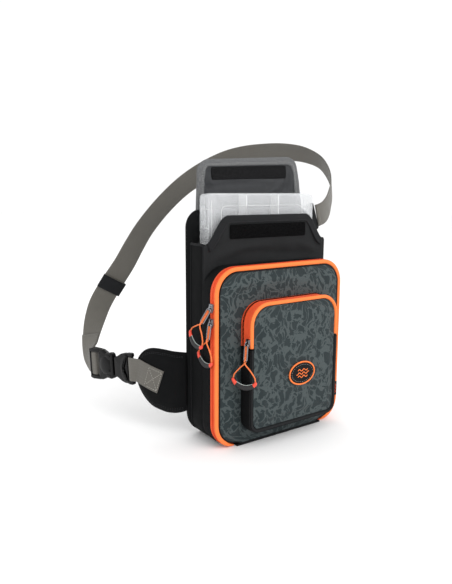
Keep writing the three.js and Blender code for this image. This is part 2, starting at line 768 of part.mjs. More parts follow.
function makeHipWing() {
  const height = wingHigh - wingLow;
  const rings = wingRows.map(({ share, low, high, thick }) => {
    const { point, out } = wingFrame(share);
    const z0 = wingLow + low * height;
    const z1 = wingLow + high * height;
    const edge = Math.min(7, (z1 - z0) / 4);
    const half = (wingThickness / 2) * thick;
    const corner = (n, z) => {
      const place = point.clone().addScaledVector(out, n).setZ(z);
      return place.setX(Math.min(place.x, -bagHalf - seamGap));
    };
    return [
      corner(-half * 0.35, z0), corner(half * 0.35, z0), corner(half, z0 + edge), corner(half, z1 - edge),
      corner(half * 0.35, z1), corner(-half * 0.35, z1), corner(-half, z1 - edge), corner(-half, z0 + edge),
    ];
  });
  addPiece(bag, 'hip_wing', loft(rings), 'pad_fabric');
}

// The buckle's own frame: +X from the wing's bar to the strap's bar, +Z up the bars, +Y away from the wearer
function buckleFrame() {
  const { point, out } = wingFrame(1);
  const origin = point.clone().addScaledVector(out, wingThickness / 2).setZ(wingWebbingHigh);
  const group = new THREE.Group();
  group.rotation.order = 'ZYX';
  group.rotation.z = THREE.MathUtils.degToRad(buckleYaw);
  group.rotation.y = THREE.MathUtils.degToRad(-bucklePitch);
  const forward = new THREE.Vector3(1, 0, 0).applyEuler(group.rotation);
  group.position.copy(origin).addScaledVector(forward, slotWidth + barWidth);
  group.updateMatrixWorld(true);
  return group;
}

const malePlateHalf = buckleThickness * 0.31;
const buckle = buckleFrame();
bag.add(buckle);

function fromBuckle(along, out, up) {
  return new THREE.Vector3(along, out, up).applyMatrix4(buckle.matrixWorld);
}

function buckleDirection(along, out, up) {
  return new THREE.Vector3(along, out, up).transformDirection(buckle.matrixWorld);
}

function makeBuckle() {
  const half = buckleWidth / 2;
  const deep = buckleThickness / 2;
  const joint = buckleLength * 0.42;
  const through = 2 * buckleThickness;
  const slot = (centre) => block(
    centre - slotWidth / 2, centre + slotWidth / 2, -through, through, -slotLength / 2, slotLength / 2,
  );

  const wingEnd = -slotWidth - barWidth;
  const maleOutline = new THREE.Shape();
  maleOutline.moveTo(wingEnd, -half + buckleCorner.male);
  maleOutline.quadraticCurveTo(wingEnd, -half, wingEnd + buckleCorner.male, -half);
  maleOutline.lineTo(6, -half);
  maleOutline.quadraticCurveTo(joint * 0.62, -half * 0.9, joint - buckleClearance, -half * 0.62);
  maleOutline.lineTo(joint - buckleClearance, half * 0.62);
  maleOutline.quadraticCurveTo(joint * 0.62, half * 0.9, 6, half);
  maleOutline.lineTo(wingEnd + buckleCorner.male, half);
  maleOutline.quadraticCurveTo(wingEnd, half, wingEnd, half - buckleCorner.male);
  const malePlate = roundedPanel(maleOutline, -malePlateHalf, malePlateHalf, 1.2, 1.2, 5);
  const lipOutline = new THREE.Shape();
  lipOutline.moveTo(2.5, -half + 2);
  lipOutline.quadraticCurveTo(9, 0, 2.5, half - 2);
  lipOutline.lineTo(8, half - 4);
  lipOutline.quadraticCurveTo(17, 0, 8, -half + 4);
  const lip = roundedPanel(lipOutline, -deep, deep, 1, 1, 6);
  const tongue = block(joint - 4, buckleLength * 0.74, -deep * 0.3, deep * 0.3, -half * 0.42, half * 0.42);
  const male = join(cut(malePlate, slot(-slotWidth / 2 - buckleClearance)), lip, tongue);
  addPiece(buckle, 'buckle_male', male, 'black_plastic');

  const strapEnd = buckleLength + barWidth / 2;
  const femaleOutline = new THREE.Shape();
  femaleOutline.moveTo(joint, -half * 0.66);
  femaleOutline.quadraticCurveTo(
    joint + buckleWaist.start, -half * 0.9, joint + buckleWaist.narrow, -half * 0.84,
  );
  femaleOutline.quadraticCurveTo(joint + buckleWaist.widen, -half * 0.8, joint + buckleWaist.full, -half);
  femaleOutline.lineTo(strapEnd - buckleCorner.female, -half);
  femaleOutline.quadraticCurveTo(strapEnd, -half, strapEnd, -half + buckleCorner.female);
  femaleOutline.lineTo(strapEnd, half - buckleCorner.female);
  femaleOutline.quadraticCurveTo(strapEnd, half, strapEnd - buckleCorner.female, half);
  femaleOutline.lineTo(joint + buckleWaist.full, half);
  femaleOutline.quadraticCurveTo(
    joint + buckleWaist.widen, half * 0.8, joint + buckleWaist.narrow, half * 0.84,
  );
  femaleOutline.quadraticCurveTo(joint + buckleWaist.start, half * 0.9, joint, half * 0.66);
  const housing = roundedPanel(femaleOutline, -deep, deep, 1.6, 1.6, 5);
  const dome = new THREE.SphereGeometry(1, 16, 10);
  dome.scale(15, deep * 0.55, half * 0.6).translate(joint + 18, deep - 0.2, 0);
  const space = deep * 0.3 + buckleClearance;
  const tongueSpace = block(joint - 1, buckleLength * 0.74 + buckleClearance, -space, space,
    -half * 0.42 - buckleClearance, half * 0.42 + buckleClearance);
  const slotX = buckleLength - slotWidth / 2 - barWidth / 2;
  const recess = (y0, y1) => block(
    slotX - slotWidth / 2, strapEnd + 1, y0, y1, -slotLength / 2, slotLength / 2,
  );
  const barHalf = barThickness / 2;
  const recesses = [recess(-through, -barHalf), recess(barHalf, through)];
  const female = cut(join(housing, dome), tongueSpace, slot(slotX), ...recesses);
  addPiece(buckle, 'buckle_female', female, 'black_plastic');
}

// Short webbing sewn on the wing's outer face, which passes over the wing's bar and down into its slot
function makeWingWebbing() {
  const lay = wingThickness / 2 + seamGap + webbingThickness / 2;
  const start = 0.46;
  const end = 0.9;
  const stepCount = 8;
  const centres = [];
  for (let i = 0; i <= stepCount; i += 1) {
    const { point, out } = wingFrame(start + ((end - start) * i) / stepCount);
    const z = THREE.MathUtils.lerp(wingWebbingLow, wingWebbingHigh, i / stepCount);
    centres.push(point.clone().addScaledVector(out, lay).setZ(z));
  }
  const over = malePlateHalf + buckleClearance + webbingThickness / 2;
  const slotMiddle = -slotWidth / 2 - buckleClearance;
  const turn = [
    { along: -slotWidth - barWidth + 1, out: over },
    { along: -slotWidth - 1.5, out: over },
    { along: slotMiddle - 0.9, out: over * 0.8 },
    { along: slotMiddle - 0.2, out: over * 0.45 },
    { along: slotMiddle, out: 0 },
    { along: slotMiddle, out: -malePlateHalf * 0.6 },
  ];
  turn.forEach((row) => centres.push(fromBuckle(row.along, row.out, 0)));
  const upright = buckleDirection(0, 0, 1);
  const stations = centres.map((centre, i) => {
    const onWing = i <= stepCount;
    const next = centres[Math.min(i + 1, stepCount)];
    const along = onWing ? next.clone().sub(centres[Math.max(i - 1, 0)]).normalize() : null;
    const wingShare = start + ((end - start) * i) / stepCount;
    const across = onWing ? along.cross(wingFrame(wingShare).out) : upright.clone();
    return { centre, across: across.z < 0 ? across.negate() : across };
  });
  addPiece(bag, 'wing_webbing', band(stations, webbingWidth, webbingThickness), 'webbing');
}

// Shoulder strap

// Rows run from the sewn end at the bag's right to the buckle. `along` goes from one end to the other on a
// straight line, and the other places are shares of the strap's spread, bulge and rise off that line.
// The last three columns point across the webbing, towards its upper edge at the sewn end.
const strapRows = [
  { along: 0, out: 0, back: 0, up: 0, edgeX: -0.4, edgeY: 0, edgeZ: 0.92 },
  { along: 0.015, out: 0.125, back: -0.035, up: 0.035, edgeX: -0.42, edgeY: -0.06, edgeZ: 0.9 },
  { along: 0.03, out: 0.25, back: -0.03, up: 0.08, edgeX: -0.45, edgeY: -0.15, edgeZ: 0.88 },
  { along: 0.06, out: 0.47, back: 0.02, up: 0.2, edgeX: -0.52, edgeY: -0.34, edgeZ: 0.78 },
  { along: 0.12, out: 0.83, back: 0.19, up: 0.45, edgeX: -0.58, edgeY: -0.53, edgeZ: 0.62 },
  { along: 0.18, out: 1, back: 0.44, up: 0.7, edgeX: -0.53, edgeY: -0.67, edgeZ: 0.52 },
  { along: 0.24, out: 0.92, back: 0.7, up: 0.86, edgeX: -0.29, edgeY: -0.66, edgeZ: 0.69 },
  { along: 0.33, out: 0.64, back: 0.82, up: 0.96, edgeX: -0.23, edgeY: -0.41, edgeZ: 0.88 },
  { along: 0.42, out: 0.38, back: 0.87, up: 0.99, edgeX: -0.38, edgeY: -0.15, edgeZ: 0.92 },
  { along: 0.545, out: 0.12, back: 0.83, up: 0.92, edgeX: -0.61, edgeY: -0.21, edgeZ: 0.77 },
  { along: 0.67, out: -0.055, back: 0.75, up: 0.72, edgeX: -0.84, edgeY: -0.14, edgeZ: 0.52 },
  { along: 0.76, out: -0.07, back: 0.78, up: 0.51, edgeX: -0.9, edgeY: 0.09, edgeZ: 0.42 },
  { along: 0.85, out: -0.07, back: 1, up: 0.27, edgeX: -0.8, edgeY: 0.46, edgeZ: 0.39 },
  { along: 0.91, out: -0.06, back: 0.82, up: 0.11, edgeX: -0.57, edgeY: 0.82, edgeZ: -0.09 },
  { along: 0.96, out: -0.03, back: 0.46, up: 0.01, edgeX: -0.3, edgeY: 0.7, edgeZ: -0.65 },
  { along: 1, out: 0, back: 0, up: 0, edgeX: 0, edgeY: 0.1, edgeZ: -1 },
];

const strapStart = new THREE.Vector3(bagHalf + strapSeam.out, strapSeam.y, backPanelHeight - strapSeam.drop);
const wrapRadius = barThickness / 2 + buckleClearance + webbingThickness / 2;
const wrapReach = barWidth / 2 + buckleClearance + webbingThickness / 2;
const strapEnd = fromBuckle(buckleLength + 3 * barWidth, -wrapRadius, 0);

function strapStations() {
  const places = strapRows.map((row) => {
    const place = strapStart.clone().lerp(strapEnd, row.along);
    return place.add(new THREE.Vector3(row.out * strapSpread, row.back * strapBulge, row.up * strapRise));
  });
  const route = new THREE.CatmullRomCurve3(places, false, 'centripetal');
  const edges = new THREE.CatmullRomCurve3(
    strapRows.map((row) => new THREE.Vector3(row.edgeX, row.edgeY, row.edgeZ)), false, 'centripetal',
  );
  const stations = [];
  const stepsPerRow = 4;
  const count = (strapRows.length - 1) * stepsPerRow;
  for (let i = 0; i <= count; i += 1) {
    stations.push({ centre: route.getPoint(i / count), across: edges.getPoint(i / count) });
  }
  return squaredStations(stations);
}

// The webbing passes under the strap's bar, up through the slot and back over the bar, and its free end lies
// on the strap
function makeShoulderStrap() {
  const stations = strapStations();
  const down = buckleDirection(0, 0, -1);
  const wrap = [
    { along: barWidth * 1.6, out: -wrapRadius },
    { along: barWidth * 0.6, out: -wrapRadius },
    { along: -barWidth * 0.35, out: -wrapRadius },
    { along: -wrapReach * 0.93, out: -wrapRadius * 0.85 },
    { along: -wrapReach, out: -wrapRadius * 0.4 },
    { along: -wrapReach, out: wrapRadius * 0.4 },
    { along: -wrapReach * 0.93, out: wrapRadius * 0.85 },
    { along: -barWidth * 0.35, out: wrapRadius },
    { along: barWidth * 0.6, out: wrapRadius },
    { along: barWidth * 1.4, out: wrapRadius * 0.85 },
  ].map((row) => ({ centre: fromBuckle(buckleLength + row.along, row.out, 0), across: down.clone() }));
  const spacing = webbingThickness + 2 * seamGap;
  const outward = Math.sign(stations.at(-1).normal.dot(buckleDirection(0, 1, 0)));
  const tail = [];
  let run = 0;
  for (let i = stations.length - 2; run < tailLength; i -= 1) {
    const { centre, across, normal } = stations[i];
    tail.push({ centre: centre.clone().addScaledVector(normal, outward * spacing), across });
    run += centre.distanceTo(stations[i + 1].centre);
  }
  const all = stations.concat(wrap, tail);
  addPiece(bag, 'shoulder_strap', band(all, webbingWidth, webbingThickness), 'webbing');

  // The keeper is a sleeve round the webbing
  const keeperStation = Math.round(keeperPlace * (stations.length - 1));
  const middle = stations[keeperStation];
  const ahead = stations[keeperStation + 1].centre;
  const along = ahead.clone().sub(stations[keeperStation - 1].centre).normalize();
  const sleeve = (length) => [-0.5, 0.5].map((side) => ({
    centre: middle.centre.clone().addScaledVector(along, side * length),
    across: middle.across,
  }));
  const innerWidth = webbingWidth + 6 * keeperClearance;
  const innerThickness = webbingThickness + 6 * keeperClearance;
  const keeper = cut(
    band(sleeve(keeperLength), innerWidth + 2 * keeperWall, innerThickness + 2 * keeperWall),
    band(sleeve(keeperLength + 2), innerWidth, innerThickness),
  );
  addPiece(bag, 'strap_keeper', keeper, 'hook_strip');
}

// Reinforcing tab in the back panel's side seam, which carries the strap's sewn end
function makeStrapTab() {
  const tilt = THREE.MathUtils.degToRad(strapTilt);
  const half = webbingWidth / 2;
  const upper = { x: strapStart.x - half * Math.sin(tilt), z: strapStart.z + half * Math.cos(tilt) };
  const lower = { x: strapStart.x + half * Math.sin(tilt), z: strapStart.z - half * Math.cos(tilt) };
  const seam = bagHalf + seamGap;
  const shape = new THREE.Shape();
  shape.moveTo(seam, backPanelHeight - backTopRadius);
  shape.lineTo(seam, lower.z - half);
  shape.lineTo(lower.x + 1, lower.z - tabMargin);
  shape.lineTo(upper.x + 1, upper.z + tabMargin);
  shape.lineTo(upper.x - 2 * tabMargin, upper.z + tabMargin);
  const y0 = strapStart.y + webbingThickness / 2 + seamGap;
  addPiece(bag, 'strap_tab', panel(shape, y0, y0 + clothWall), 'black_fabric');
}

makeBackPanel();
makeMainGusset();
makeFrontWall();
makeTongueTape();
makeFlap();
makeTackleBox();
makeFrontPocket();
makeSmallPocket();
makeZipPulls();
makeHipWing();
makeBuckle();
makeWingWebbing();
makeShoulderStrap();
makeStrapTab();

export default bag;
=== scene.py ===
"""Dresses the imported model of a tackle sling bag: cloth, tapes, webbing, buckle, zip pulls and a clear
tackle box."""

import math

import bmesh
import bpy
import numpy as np
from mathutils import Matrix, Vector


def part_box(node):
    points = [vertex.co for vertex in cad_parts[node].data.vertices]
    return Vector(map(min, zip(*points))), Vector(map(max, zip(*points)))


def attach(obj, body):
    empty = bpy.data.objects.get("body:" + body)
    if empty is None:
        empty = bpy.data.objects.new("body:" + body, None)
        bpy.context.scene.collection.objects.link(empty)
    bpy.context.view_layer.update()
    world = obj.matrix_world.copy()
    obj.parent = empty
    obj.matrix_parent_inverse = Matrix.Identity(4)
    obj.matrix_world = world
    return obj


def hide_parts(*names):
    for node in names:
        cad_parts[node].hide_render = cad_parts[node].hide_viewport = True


bl_info = {
    "name": "Tackle Sling Bag",
    "version": (1, 0, 0),
    "blender": (4, 5, 0),
    "location": "View3D > Sidebar > Bag",
    "description": "Builds the cloth, hardware and studio of a tackle sling bag round its packed frame",
    "category": "Object",
}

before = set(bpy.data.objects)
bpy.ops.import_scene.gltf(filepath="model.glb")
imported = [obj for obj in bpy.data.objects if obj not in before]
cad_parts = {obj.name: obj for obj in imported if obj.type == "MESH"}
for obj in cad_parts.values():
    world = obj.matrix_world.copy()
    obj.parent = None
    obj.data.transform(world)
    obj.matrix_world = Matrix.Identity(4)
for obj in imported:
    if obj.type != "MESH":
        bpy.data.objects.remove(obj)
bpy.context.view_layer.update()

BAG = "bag"
TACKLE_BOX = "tackle_box"
MM = 0.001


def span(node):
    """Lowest and highest corner of a CAD node at rest, in millimetres."""
    low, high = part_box(node)
    return np.array(low) / MM, np.array(high) / MM


# Sizes and colours


def length(label, value, note, low=0.0, high=100.0):
    return bpy.props.FloatProperty(name=label, description=note, default=value, min=low, max=high)


def colour(label, value, note):
    return bpy.props.FloatVectorProperty(
        name=label, description=note, default=value, subtype="COLOR", size=3, min=0.0, max=1.0
    )


def tint(red, green, blue):
    """Linear colour of a displayed one, by the usual power curve."""
    return tuple(float(((c / 255 + 0.055) / 1.055) ** 2.4) for c in (red, green, blue))


class BagSizes(bpy.types.PropertyGroup):
    """Sizes in millimetres that the frame leaves open"""

    weave: length("Cloth weave", 0.7, "Pitch of the cloth's threads in millimetres", 0.3, 3)
    rib: length("Tape rib", 1.1, "Pitch of the ribs of binding and zip tape in millimetres", 0.3, 4)
    webbing_row: length("Webbing row", 2.4, "Pitch of the webbing's warp rows in millimetres", 0.8, 6)
    stitch: length("Stitch", 2.6, "Length of a stitch in millimetres", 1, 6)
    stitch_gap: length("Stitch gap", 1.2, "Gap between two stitches in millimetres", 0.3, 5)
    thread: length("Thread", 0.55, "Thickness of the sewing thread in millimetres", 0.2, 2)
    tooth: length("Zip tooth pitch", 1.9, "Pitch of the coil's teeth in millimetres", 1, 5)
    pocket_puff: length("Front panel puff", 3.2, "How far the front panel stands out in its middle", 0, 10)
    small_puff: length("Small panel puff", 3.6, "How far the small pocket's panel stands out", 0, 10)
    side_bulge: length("Side bulge", 1.6, "How far the side walls bulge between their seams", 0, 6)
    wrinkle: length("Wrinkle depth", 2.1, "Depth of the cloth's soft wrinkles in millimetres", 0, 4)
    wing_puff: length("Wing puff", 1.4, "How far the padded wing swells between its seams", 0, 5)


class BagColours(bpy.types.PropertyGroup):
    """Colours of the finishes"""

    # black and side are one black cloth in two copies: black is lighter as painted light (front wall, strap
    # tab), side is darker as painted shade (side walls, pocket bands)
    black: colour("Black cloth", tint(39, 40, 41), "Black cloth of the front wall, lighter as painted light")
    side: colour("Side black, painted shade", tint(17, 18, 19), "Black cloth of the side walls")
    pad: colour("Pad cloth", tint(14, 15, 16), "Cloth of the padded back and wing")
    lining: colour("Lining", tint(62, 63, 65), "Coated lining inside the flap")
    flap_tape: colour("Flap binding", tint(106, 107, 108), "Grosgrain round the flap")
    edge_tape: colour("Edge binding", tint(26, 27, 29), "Binding of the front wall")
    strip: colour("Hook and loop", tint(5, 5, 6), "Hook and loop strips")
    loop: colour("Loop strip", tint(24, 24, 25), "Loop strip inside the flap")
    orange: colour("Piping", tint(255, 130, 66), "Piping on the pocket edges")
    zip_orange: colour("Zip tape", tint(246, 92, 50), "Tape of the zips")
    camo_light: colour("Print, light", tint(70, 80, 81), "Lighter colour of the printed cloth")
    camo_dark: colour("Print, dark", tint(26, 40, 43), "Darker colour of the printed cloth")
    webbing: colour("Webbing", tint(99, 96, 89), "Woven webbing")
    plastic: colour("Black plastic", tint(6, 6, 7), "Buckle halves")
    grip: colour("Grip", tint(22, 22, 24), "Moulded grips of the pulls")
    grip_tip: colour("Grip tip", tint(232, 74, 52), "Coloured ends of the grips")
    # Light colour of the bead along each grip's inner edge, a painted highlight
    grip_painted_highlight: colour("Grip painted highlight", tint(176, 186, 182), "Painted highlight along the inside of each grip")
    metal: colour("Zip metal", tint(158, 160, 165), "Sliders and wire rings")
    clear: colour("Clear plastic", tint(236, 238, 240), "Tackle box shell")
    divider: colour("Dividers", tint(252, 252, 253), "Tackle box dividers")


class StudioSettings(bpy.types.PropertyGroup):
    """Floor, lights and camera"""

    floor: colour("Floor", (0.98, 0.98, 0.98), "Plain pale floor")
    world: length("Ambient light", 1.03, "Strength of the surrounding light", 0, 5)
    key: length("Key light", 30.0, "Power of the key light in watts", 0, 500)
    fill: length("Fill light", 5.0, "Power of the fill light in watts", 0, 500)
    lens: length("Lens", 36.75, "Focal length in millimetres", 10, 200)


def sizes():
    return bpy.context.scene.tackle_bag_sizes


def colours():
    return bpy.context.scene.tackle_bag_colours


def studio():
    return bpy.context.scene.tackle_bag_studio


# Surfaces


def grid_part(points, us=None, vs=None, loop=False, fans=True):
    """Closed surface of rings: points[i, j] is point j of ring i, each ring closes on itself, and the end
    rings are filled by fans to their middles unless the rings form a loop or end in a line."""
    points = np.asarray(points, float)
    rings, sides = points.shape[:2]
    if us is None:
        middles = points.mean(axis=1)
        steps = np.linalg.norm(np.diff(middles, axis=0, append=middles[:1]), axis=1)
        us = np.concatenate([[0], np.cumsum(steps)])
    if vs is None:
        ring = points[rings // 2]
        steps = np.linalg.norm(np.roll(ring, -1, axis=0) - ring, axis=1)
        vs = np.concatenate([[0], np.cumsum(steps)])
    spans = rings if loop else rings - 1
    i, j = np.meshgrid(np.arange(spans), np.arange(sides), indexing="ij")
    i, j = i.ravel(), j.ravel()
    after, beside = (i + 1) % rings, (j + 1) % sides
    quads = np.stack([i * sides + j, i * sides + beside, after * sides + beside, after * sides + j], axis=1)
    quad_uv = np.stack([
        np.stack([us[i], us[i], us[i + 1], us[i + 1]], axis=1),
        np.stack([vs[j], vs[j + 1], vs[j + 1], vs[j]], axis=1),
    ], axis=2)
    flat = points.reshape(-1, 3)
    tris = np.zeros((0, 3), int)
    tri_uv = np.zeros((0, 3, 2))
    if fans and not loop:
        centres = np.stack([points[0].mean(axis=0), points[-1].mean(axis=0)])
        first, last = len(flat), len(flat) + 1
        flat = np.vstack([flat, centres])
        j = np.arange(sides)
        beside = (j + 1) % sides
        start = (rings - 1) * sides
        tris = np.vstack([
            np.stack([np.full(sides, first), beside, j], axis=1),
            np.stack([np.full(sides, last), start + j, start + beside], axis=1),
        ])
        mid = vs[sides] / 2
        near = np.stack([[us[0]] * sides, vs[j]], axis=1), np.stack([[us[0]] * sides, vs[j + 1]], axis=1)
        far = np.stack([[us[rings - 1]] * sides, vs[j]],
            axis=1), np.stack([[us[rings - 1]] * sides, vs[j + 1]], axis=1)
        tri_uv = np.concatenate([
            np.stack([np.tile([us[0], mid], (sides, 1)), near[1], near[0]], axis=1),
            np.stack([np.tile([us[rings - 1], mid], (sides, 1)), far[0], far[1]], axis=1),
        ])
    return outward(flat, quads, tris, quad_uv, tri_uv)


def outward(points, quads, tris, quad_uv, tri_uv):
    """Turns the faces round if the signed volume they enclose, a sum of tetrahedra to the origin, is
    negative."""
    corners = np.vstack([quads[:, [0, 1, 2]], quads[:, [0, 2, 3]], tris])
    a, b, c = points[corners[:, 0]], points[corners[:, 1]], points[corners[:, 2]]
    volume = np.einsum("ij,ij->i", a, np.cross(b, c)).sum()
    if volume < 0:
        quads, quad_uv = quads[:, ::-1], quad_uv[:, ::-1]
        tris, tri_uv = tris[:, ::-1], tri_uv[:, ::-1]
    return points, quads, tris, quad_uv, tri_uv


def add_piece(name, parts, finish, body=BAG, stands_for=(), smooth=True, weld=True):
    """One object from closed surfaces in millimetres, riding on a body of the frame."""
    starts = np.cumsum([0] + [len(p[0]) for p in parts])
    co = np.vstack([p[0] for p in parts]) * MM
    quads = np.vstack([p[1] + s for p, s in zip(parts, starts)])
    tris = np.vstack([p[2] + s for p, s in zip(parts, starts)])
    uv = np.vstack([p[3].reshape(-1, 2) for p in parts] + [p[4].reshape(-1, 2) for p in parts]) * MM
    mesh = bpy.data.meshes.new(name)
    mesh.vertices.add(len(co))
    mesh.vertices.foreach_set("co", co.ravel())
    loops = np.concatenate([quads.ravel(), tris.ravel()])
    mesh.loops.add(len(loops))
    mesh.loops.foreach_set("vertex_index", loops.astype(np.int32))
    mesh.polygons.add(len(quads) + len(tris))
    heads = np.concatenate([np.arange(len(quads)) * 4, len(quads) * 4 + np.arange(len(tris)) * 3])
    mesh.polygons.foreach_set("loop_start", heads.astype(np.int32))
    layer = mesh.uv_layers.new(name="cloth")
    layer.data.foreach_set("uv", uv.astype(np.float32).ravel())
    mesh.update(calc_edges=True)
    if weld:
        work = bmesh.new()
        work.from_mesh(mesh)
        bmesh.ops.remove_doubles(work, verts=work.verts, dist=2e-6)
        bmesh.ops.dissolve_degenerate(work, edges=work.edges, dist=1e-6)
        work.to_mesh(mesh)
        work.free()
    mesh.polygons.foreach_set("use_smooth", np.full(len(mesh.polygons), smooth))
    mesh.materials.append(finish_of(finish))
    piece = bpy.data.objects.new(name, mesh)
    bpy.context.scene.collection.objects.link(piece)
    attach(piece, body)
    if stands_for:
        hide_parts(*stands_for)
    return piece


def round_edge(distance, radius):
    """Rise of a quarter circle from 0 at the edge to 1 at the radius."""
    share = np.clip(distance / radius, 0, 1)
    return np.sqrt(np.clip(1 - (1 - share) ** 2, 0, 1))


def soft_step(value, low, high):
    """Smooth change from 0 to 1 between low and high."""
    share = np.clip((value - low) / (high - low), 0, 1)
    return share * share * (3 - 2 * share)


def ripples(a, b, seed, pitch):
    """Sum of five sine waves of seeded directions and phases over the plane, from about -1 to 1."""
    source = np.random.default_rng(seed)
    total = np.zeros_like(a, float)
    for k in range(5):
        angle, phase = source.uniform(0, math.pi), source.uniform(0, 2 * math.pi)
        wave = 2 * math.pi / (pitch * (0.7 + 0.25 * k))
        total = total + np.sin(wave * (a * math.cos(angle) + b * math.sin(angle)) + phase)
    return total / 3


def creases(a, b, table):
    """Sum of long bell-shaped ridges. Each row holds a ridge's middle, direction in degrees, half length,
    half width and height."""
    total = np.zeros_like(a, float)
    for middle_a, middle_b, turn, long, wide, high in table:
        along = (a - middle_a) * math.cos(math.radians(turn)) + (b - middle_b) * math.sin(math.radians(turn))
        across = -(a - middle_a) * math.sin(math.radians(turn)) + (b - middle_b) * math.cos(
            math.radians(turn))
        total = total + high * np.exp(-((along / long) ** 2) - (across / wide) ** 2)
    return total


def arc(cx, cz, radius, start, end, count):
    angle = np.radians(np.linspace(start, end, count))
    return np.stack([cx + radius * np.cos(angle), cz + radius * np.sin(angle)], axis=1)


def rounded_outline(x0, x1, z0, z1, low, high, count=12):
    """Corner arcs of a rounded rectangle from the middle of its top, anticlockwise."""
    return np.vstack([
        [[(x0 + x1) / 2, z1]],
        arc(x0 + high, z1 - high, high, 90, 180, count),
        arc(x0 + low, z0 + low, low, 180, 270, count),
        arc(x1 - low, z0 + low, low, 270, 360, count),
        arc(x1 - high, z1 - high, high, 0, 90, count),
    ])


def run_along(points):
    """Length along a polyline from its start to each of its points."""
    return np.concatenate([[0], np.cumsum(np.linalg.norm(np.diff(points, axis=0), axis=1))])


def spaced(points, count):
    """The polyline's points at count + 1 places, equally spaced along it."""
    return resample(points, run_along(points)[-1] / count)


def resample(points, step, closed=False):
    """The polyline's points at equal spacing near `step` along its length."""
    points = np.asarray(points, float)
    if closed:
        points = np.vstack([points, points[:1]])
    run = run_along(points)
    count = max(int(round(run[-1] / step)), 3)
    at = np.linspace(0, run[-1], count + 1)
    out = np.stack([np.interp(at, run, points[:, k]) for k in range(points.shape[1])], axis=1)
    return out[:-1] if closed else out


def edge_distance(x, z, outline):
    """Shortest distance from each point to the segments of a closed outline."""
    best = np.full(np.shape(x), np.inf)
    for start, end in zip(outline, np.roll(outline, -1, axis=0)):
        run = end - start
        size = float(run @ run)
        if size < 1e-9:
            continue
        share = np.clip(((x - start[0]) * run[0] + (z - start[1]) * run[1]) / size, 0, 1)
        best = np.minimum(best, np.hypot(x - start[0] - share * run[0], z - start[1] - share * run[1]))
    return best


def half_span(outline, z):
    """Left and right edge of a closed outline at each height, from where its segments cross that height."""
    left, right = np.full(len(z), np.inf), np.full(len(z), -np.inf)
    for start, end in zip(outline, np.roll(outline, -1, axis=0)):
        low, high = min(start[1], end[1]), max(start[1], end[1])
        hit = (z >= low - 1e-6) & (z <= high + 1e-6)
        share = 0.5 if high - low < 1e-9 else np.clip((z - start[1]) / (end[1] - start[1]), 0, 1)
        x = start[0] + (end[0] - start[0]) * share
        if high - low < 1e-9:
            left = np.where(hit, np.minimum(left, min(start[0], end[0])), left)
            right = np.where(hit, np.maximum(right, max(start[0], end[0])), right)
            continue
        left = np.where(hit, np.minimum(left, x), left)
        right = np.where(hit, np.maximum(right, x), right)
    return left, right


def edge_spaced(low, high, step, fine):
    """Places from low to high at about `step`, closer together within `fine` of both ends."""
    near = fine * np.array([0, 0.04, 0.15, 0.35, 0.65, 1.0])
    count = max(int(round((high - low - 2 * fine) / step)), 2)
    middle = np.linspace(low + fine, high - fine, count + 1)[1:-1]
    return np.concatenate([low + near, middle, high - near[::-1]])


def slab_part(outline, front, back, step=4.0, fine=4.0, heights=None):
    """Closed sheet over an outline in X and Z: rows of points run across it at many heights, forwards on
    its front and backwards on its back. front and back give Y from x, z and the distance to the outline's
    edge."""
    z0, z1 = outline[:, 1].min(), outline[:, 1].max()
    z = edge_spaced(z0, z1, step, fine)
    if heights is not None:
        z = np.unique(np.concatenate([z, heights]))
    left, right = half_span(outline, z)
    widest = (right - left).max()
    share = edge_spaced(0, widest, step, fine)
    off = np.minimum(share, widest - share)
    rows = []
    for x0, x1 in zip(left, right):
        width = x1 - x0
        spread = share / widest * width
        near = np.minimum(off, width / 2)
        blend = soft_step(near, fine * 0.9, width / 4 + fine)
        edge = np.where(share < widest / 2, near, width - near)
        rows.append(x0 + edge * (1 - blend) + spread * blend)
    x = np.array(rows)
    zz = np.repeat(z[:, None], x.shape[1], axis=1)
    distance = edge_distance(x, zz, outline)
    front_y, back_y = front(x, zz, distance), back(x, zz, distance)
    front_sheet = np.stack([x, front_y, zz], axis=2)
    back_sheet = np.stack([x, back_y, zz], axis=2)[:, ::-1]
    points = np.concatenate([front_sheet, back_sheet], axis=1)
    vs = np.concatenate([share, widest + share, [2 * widest]])
    pinched = np.abs(front_y - back_y)[[0, -1]].max() < 1e-3
    return grid_part(points, us=np.concatenate([z, z[-1:]]), vs=vs, fans=not pinched)


def outline_frames(outline, closed):
    """Tangents by central differences, and normals a quarter turn from them, pointing away from the
    middle."""
    if closed:
        run = np.roll(outline, -1, axis=0) - np.roll(outline, 1, axis=0)
    else:
        run = np.gradient(outline, axis=0)
    run = unit(run)
    normal = np.stack([run[:, 1], -run[:, 0]], axis=1)
    if np.einsum("ij,ij->i", normal, outline - outline.mean(axis=0)).sum() < 0:
        normal = -normal
    return run, normal


def hoop_part(outline, profile, closed=True, shift=None):
    """A profile of (outwards, y) pairs carried along an outline in X and Z. shift adds (outwards, y) to
    each point of the hoop from the run along it and the profile's share."""
    outline = np.asarray(outline, float)
    profile = np.asarray(profile, float)
    _, normal = outline_frames(outline, closed)
    out = np.repeat(profile[None, :, 0], len(outline), axis=0)
    y = np.repeat(profile[None, :, 1], len(outline), axis=0)
    run = run_along(outline)
    if shift is not None:
        more_out, more_y = shift(run[:, None], y, out)
        out, y = out + more_out, y + more_y
    x = outline[:, 0, None] + normal[:, 0, None] * out
    z = outline[:, 1, None] + normal[:, 1, None] * out
    points = np.stack([x, y, z], axis=2)
    if closed:
        run = np.concatenate([run, [run[-1] + np.linalg.norm(outline[0] - outline[-1])]])
    else:
        run = np.concatenate([run, run[-1:]])
    return grid_part(points, us=run, loop=closed)


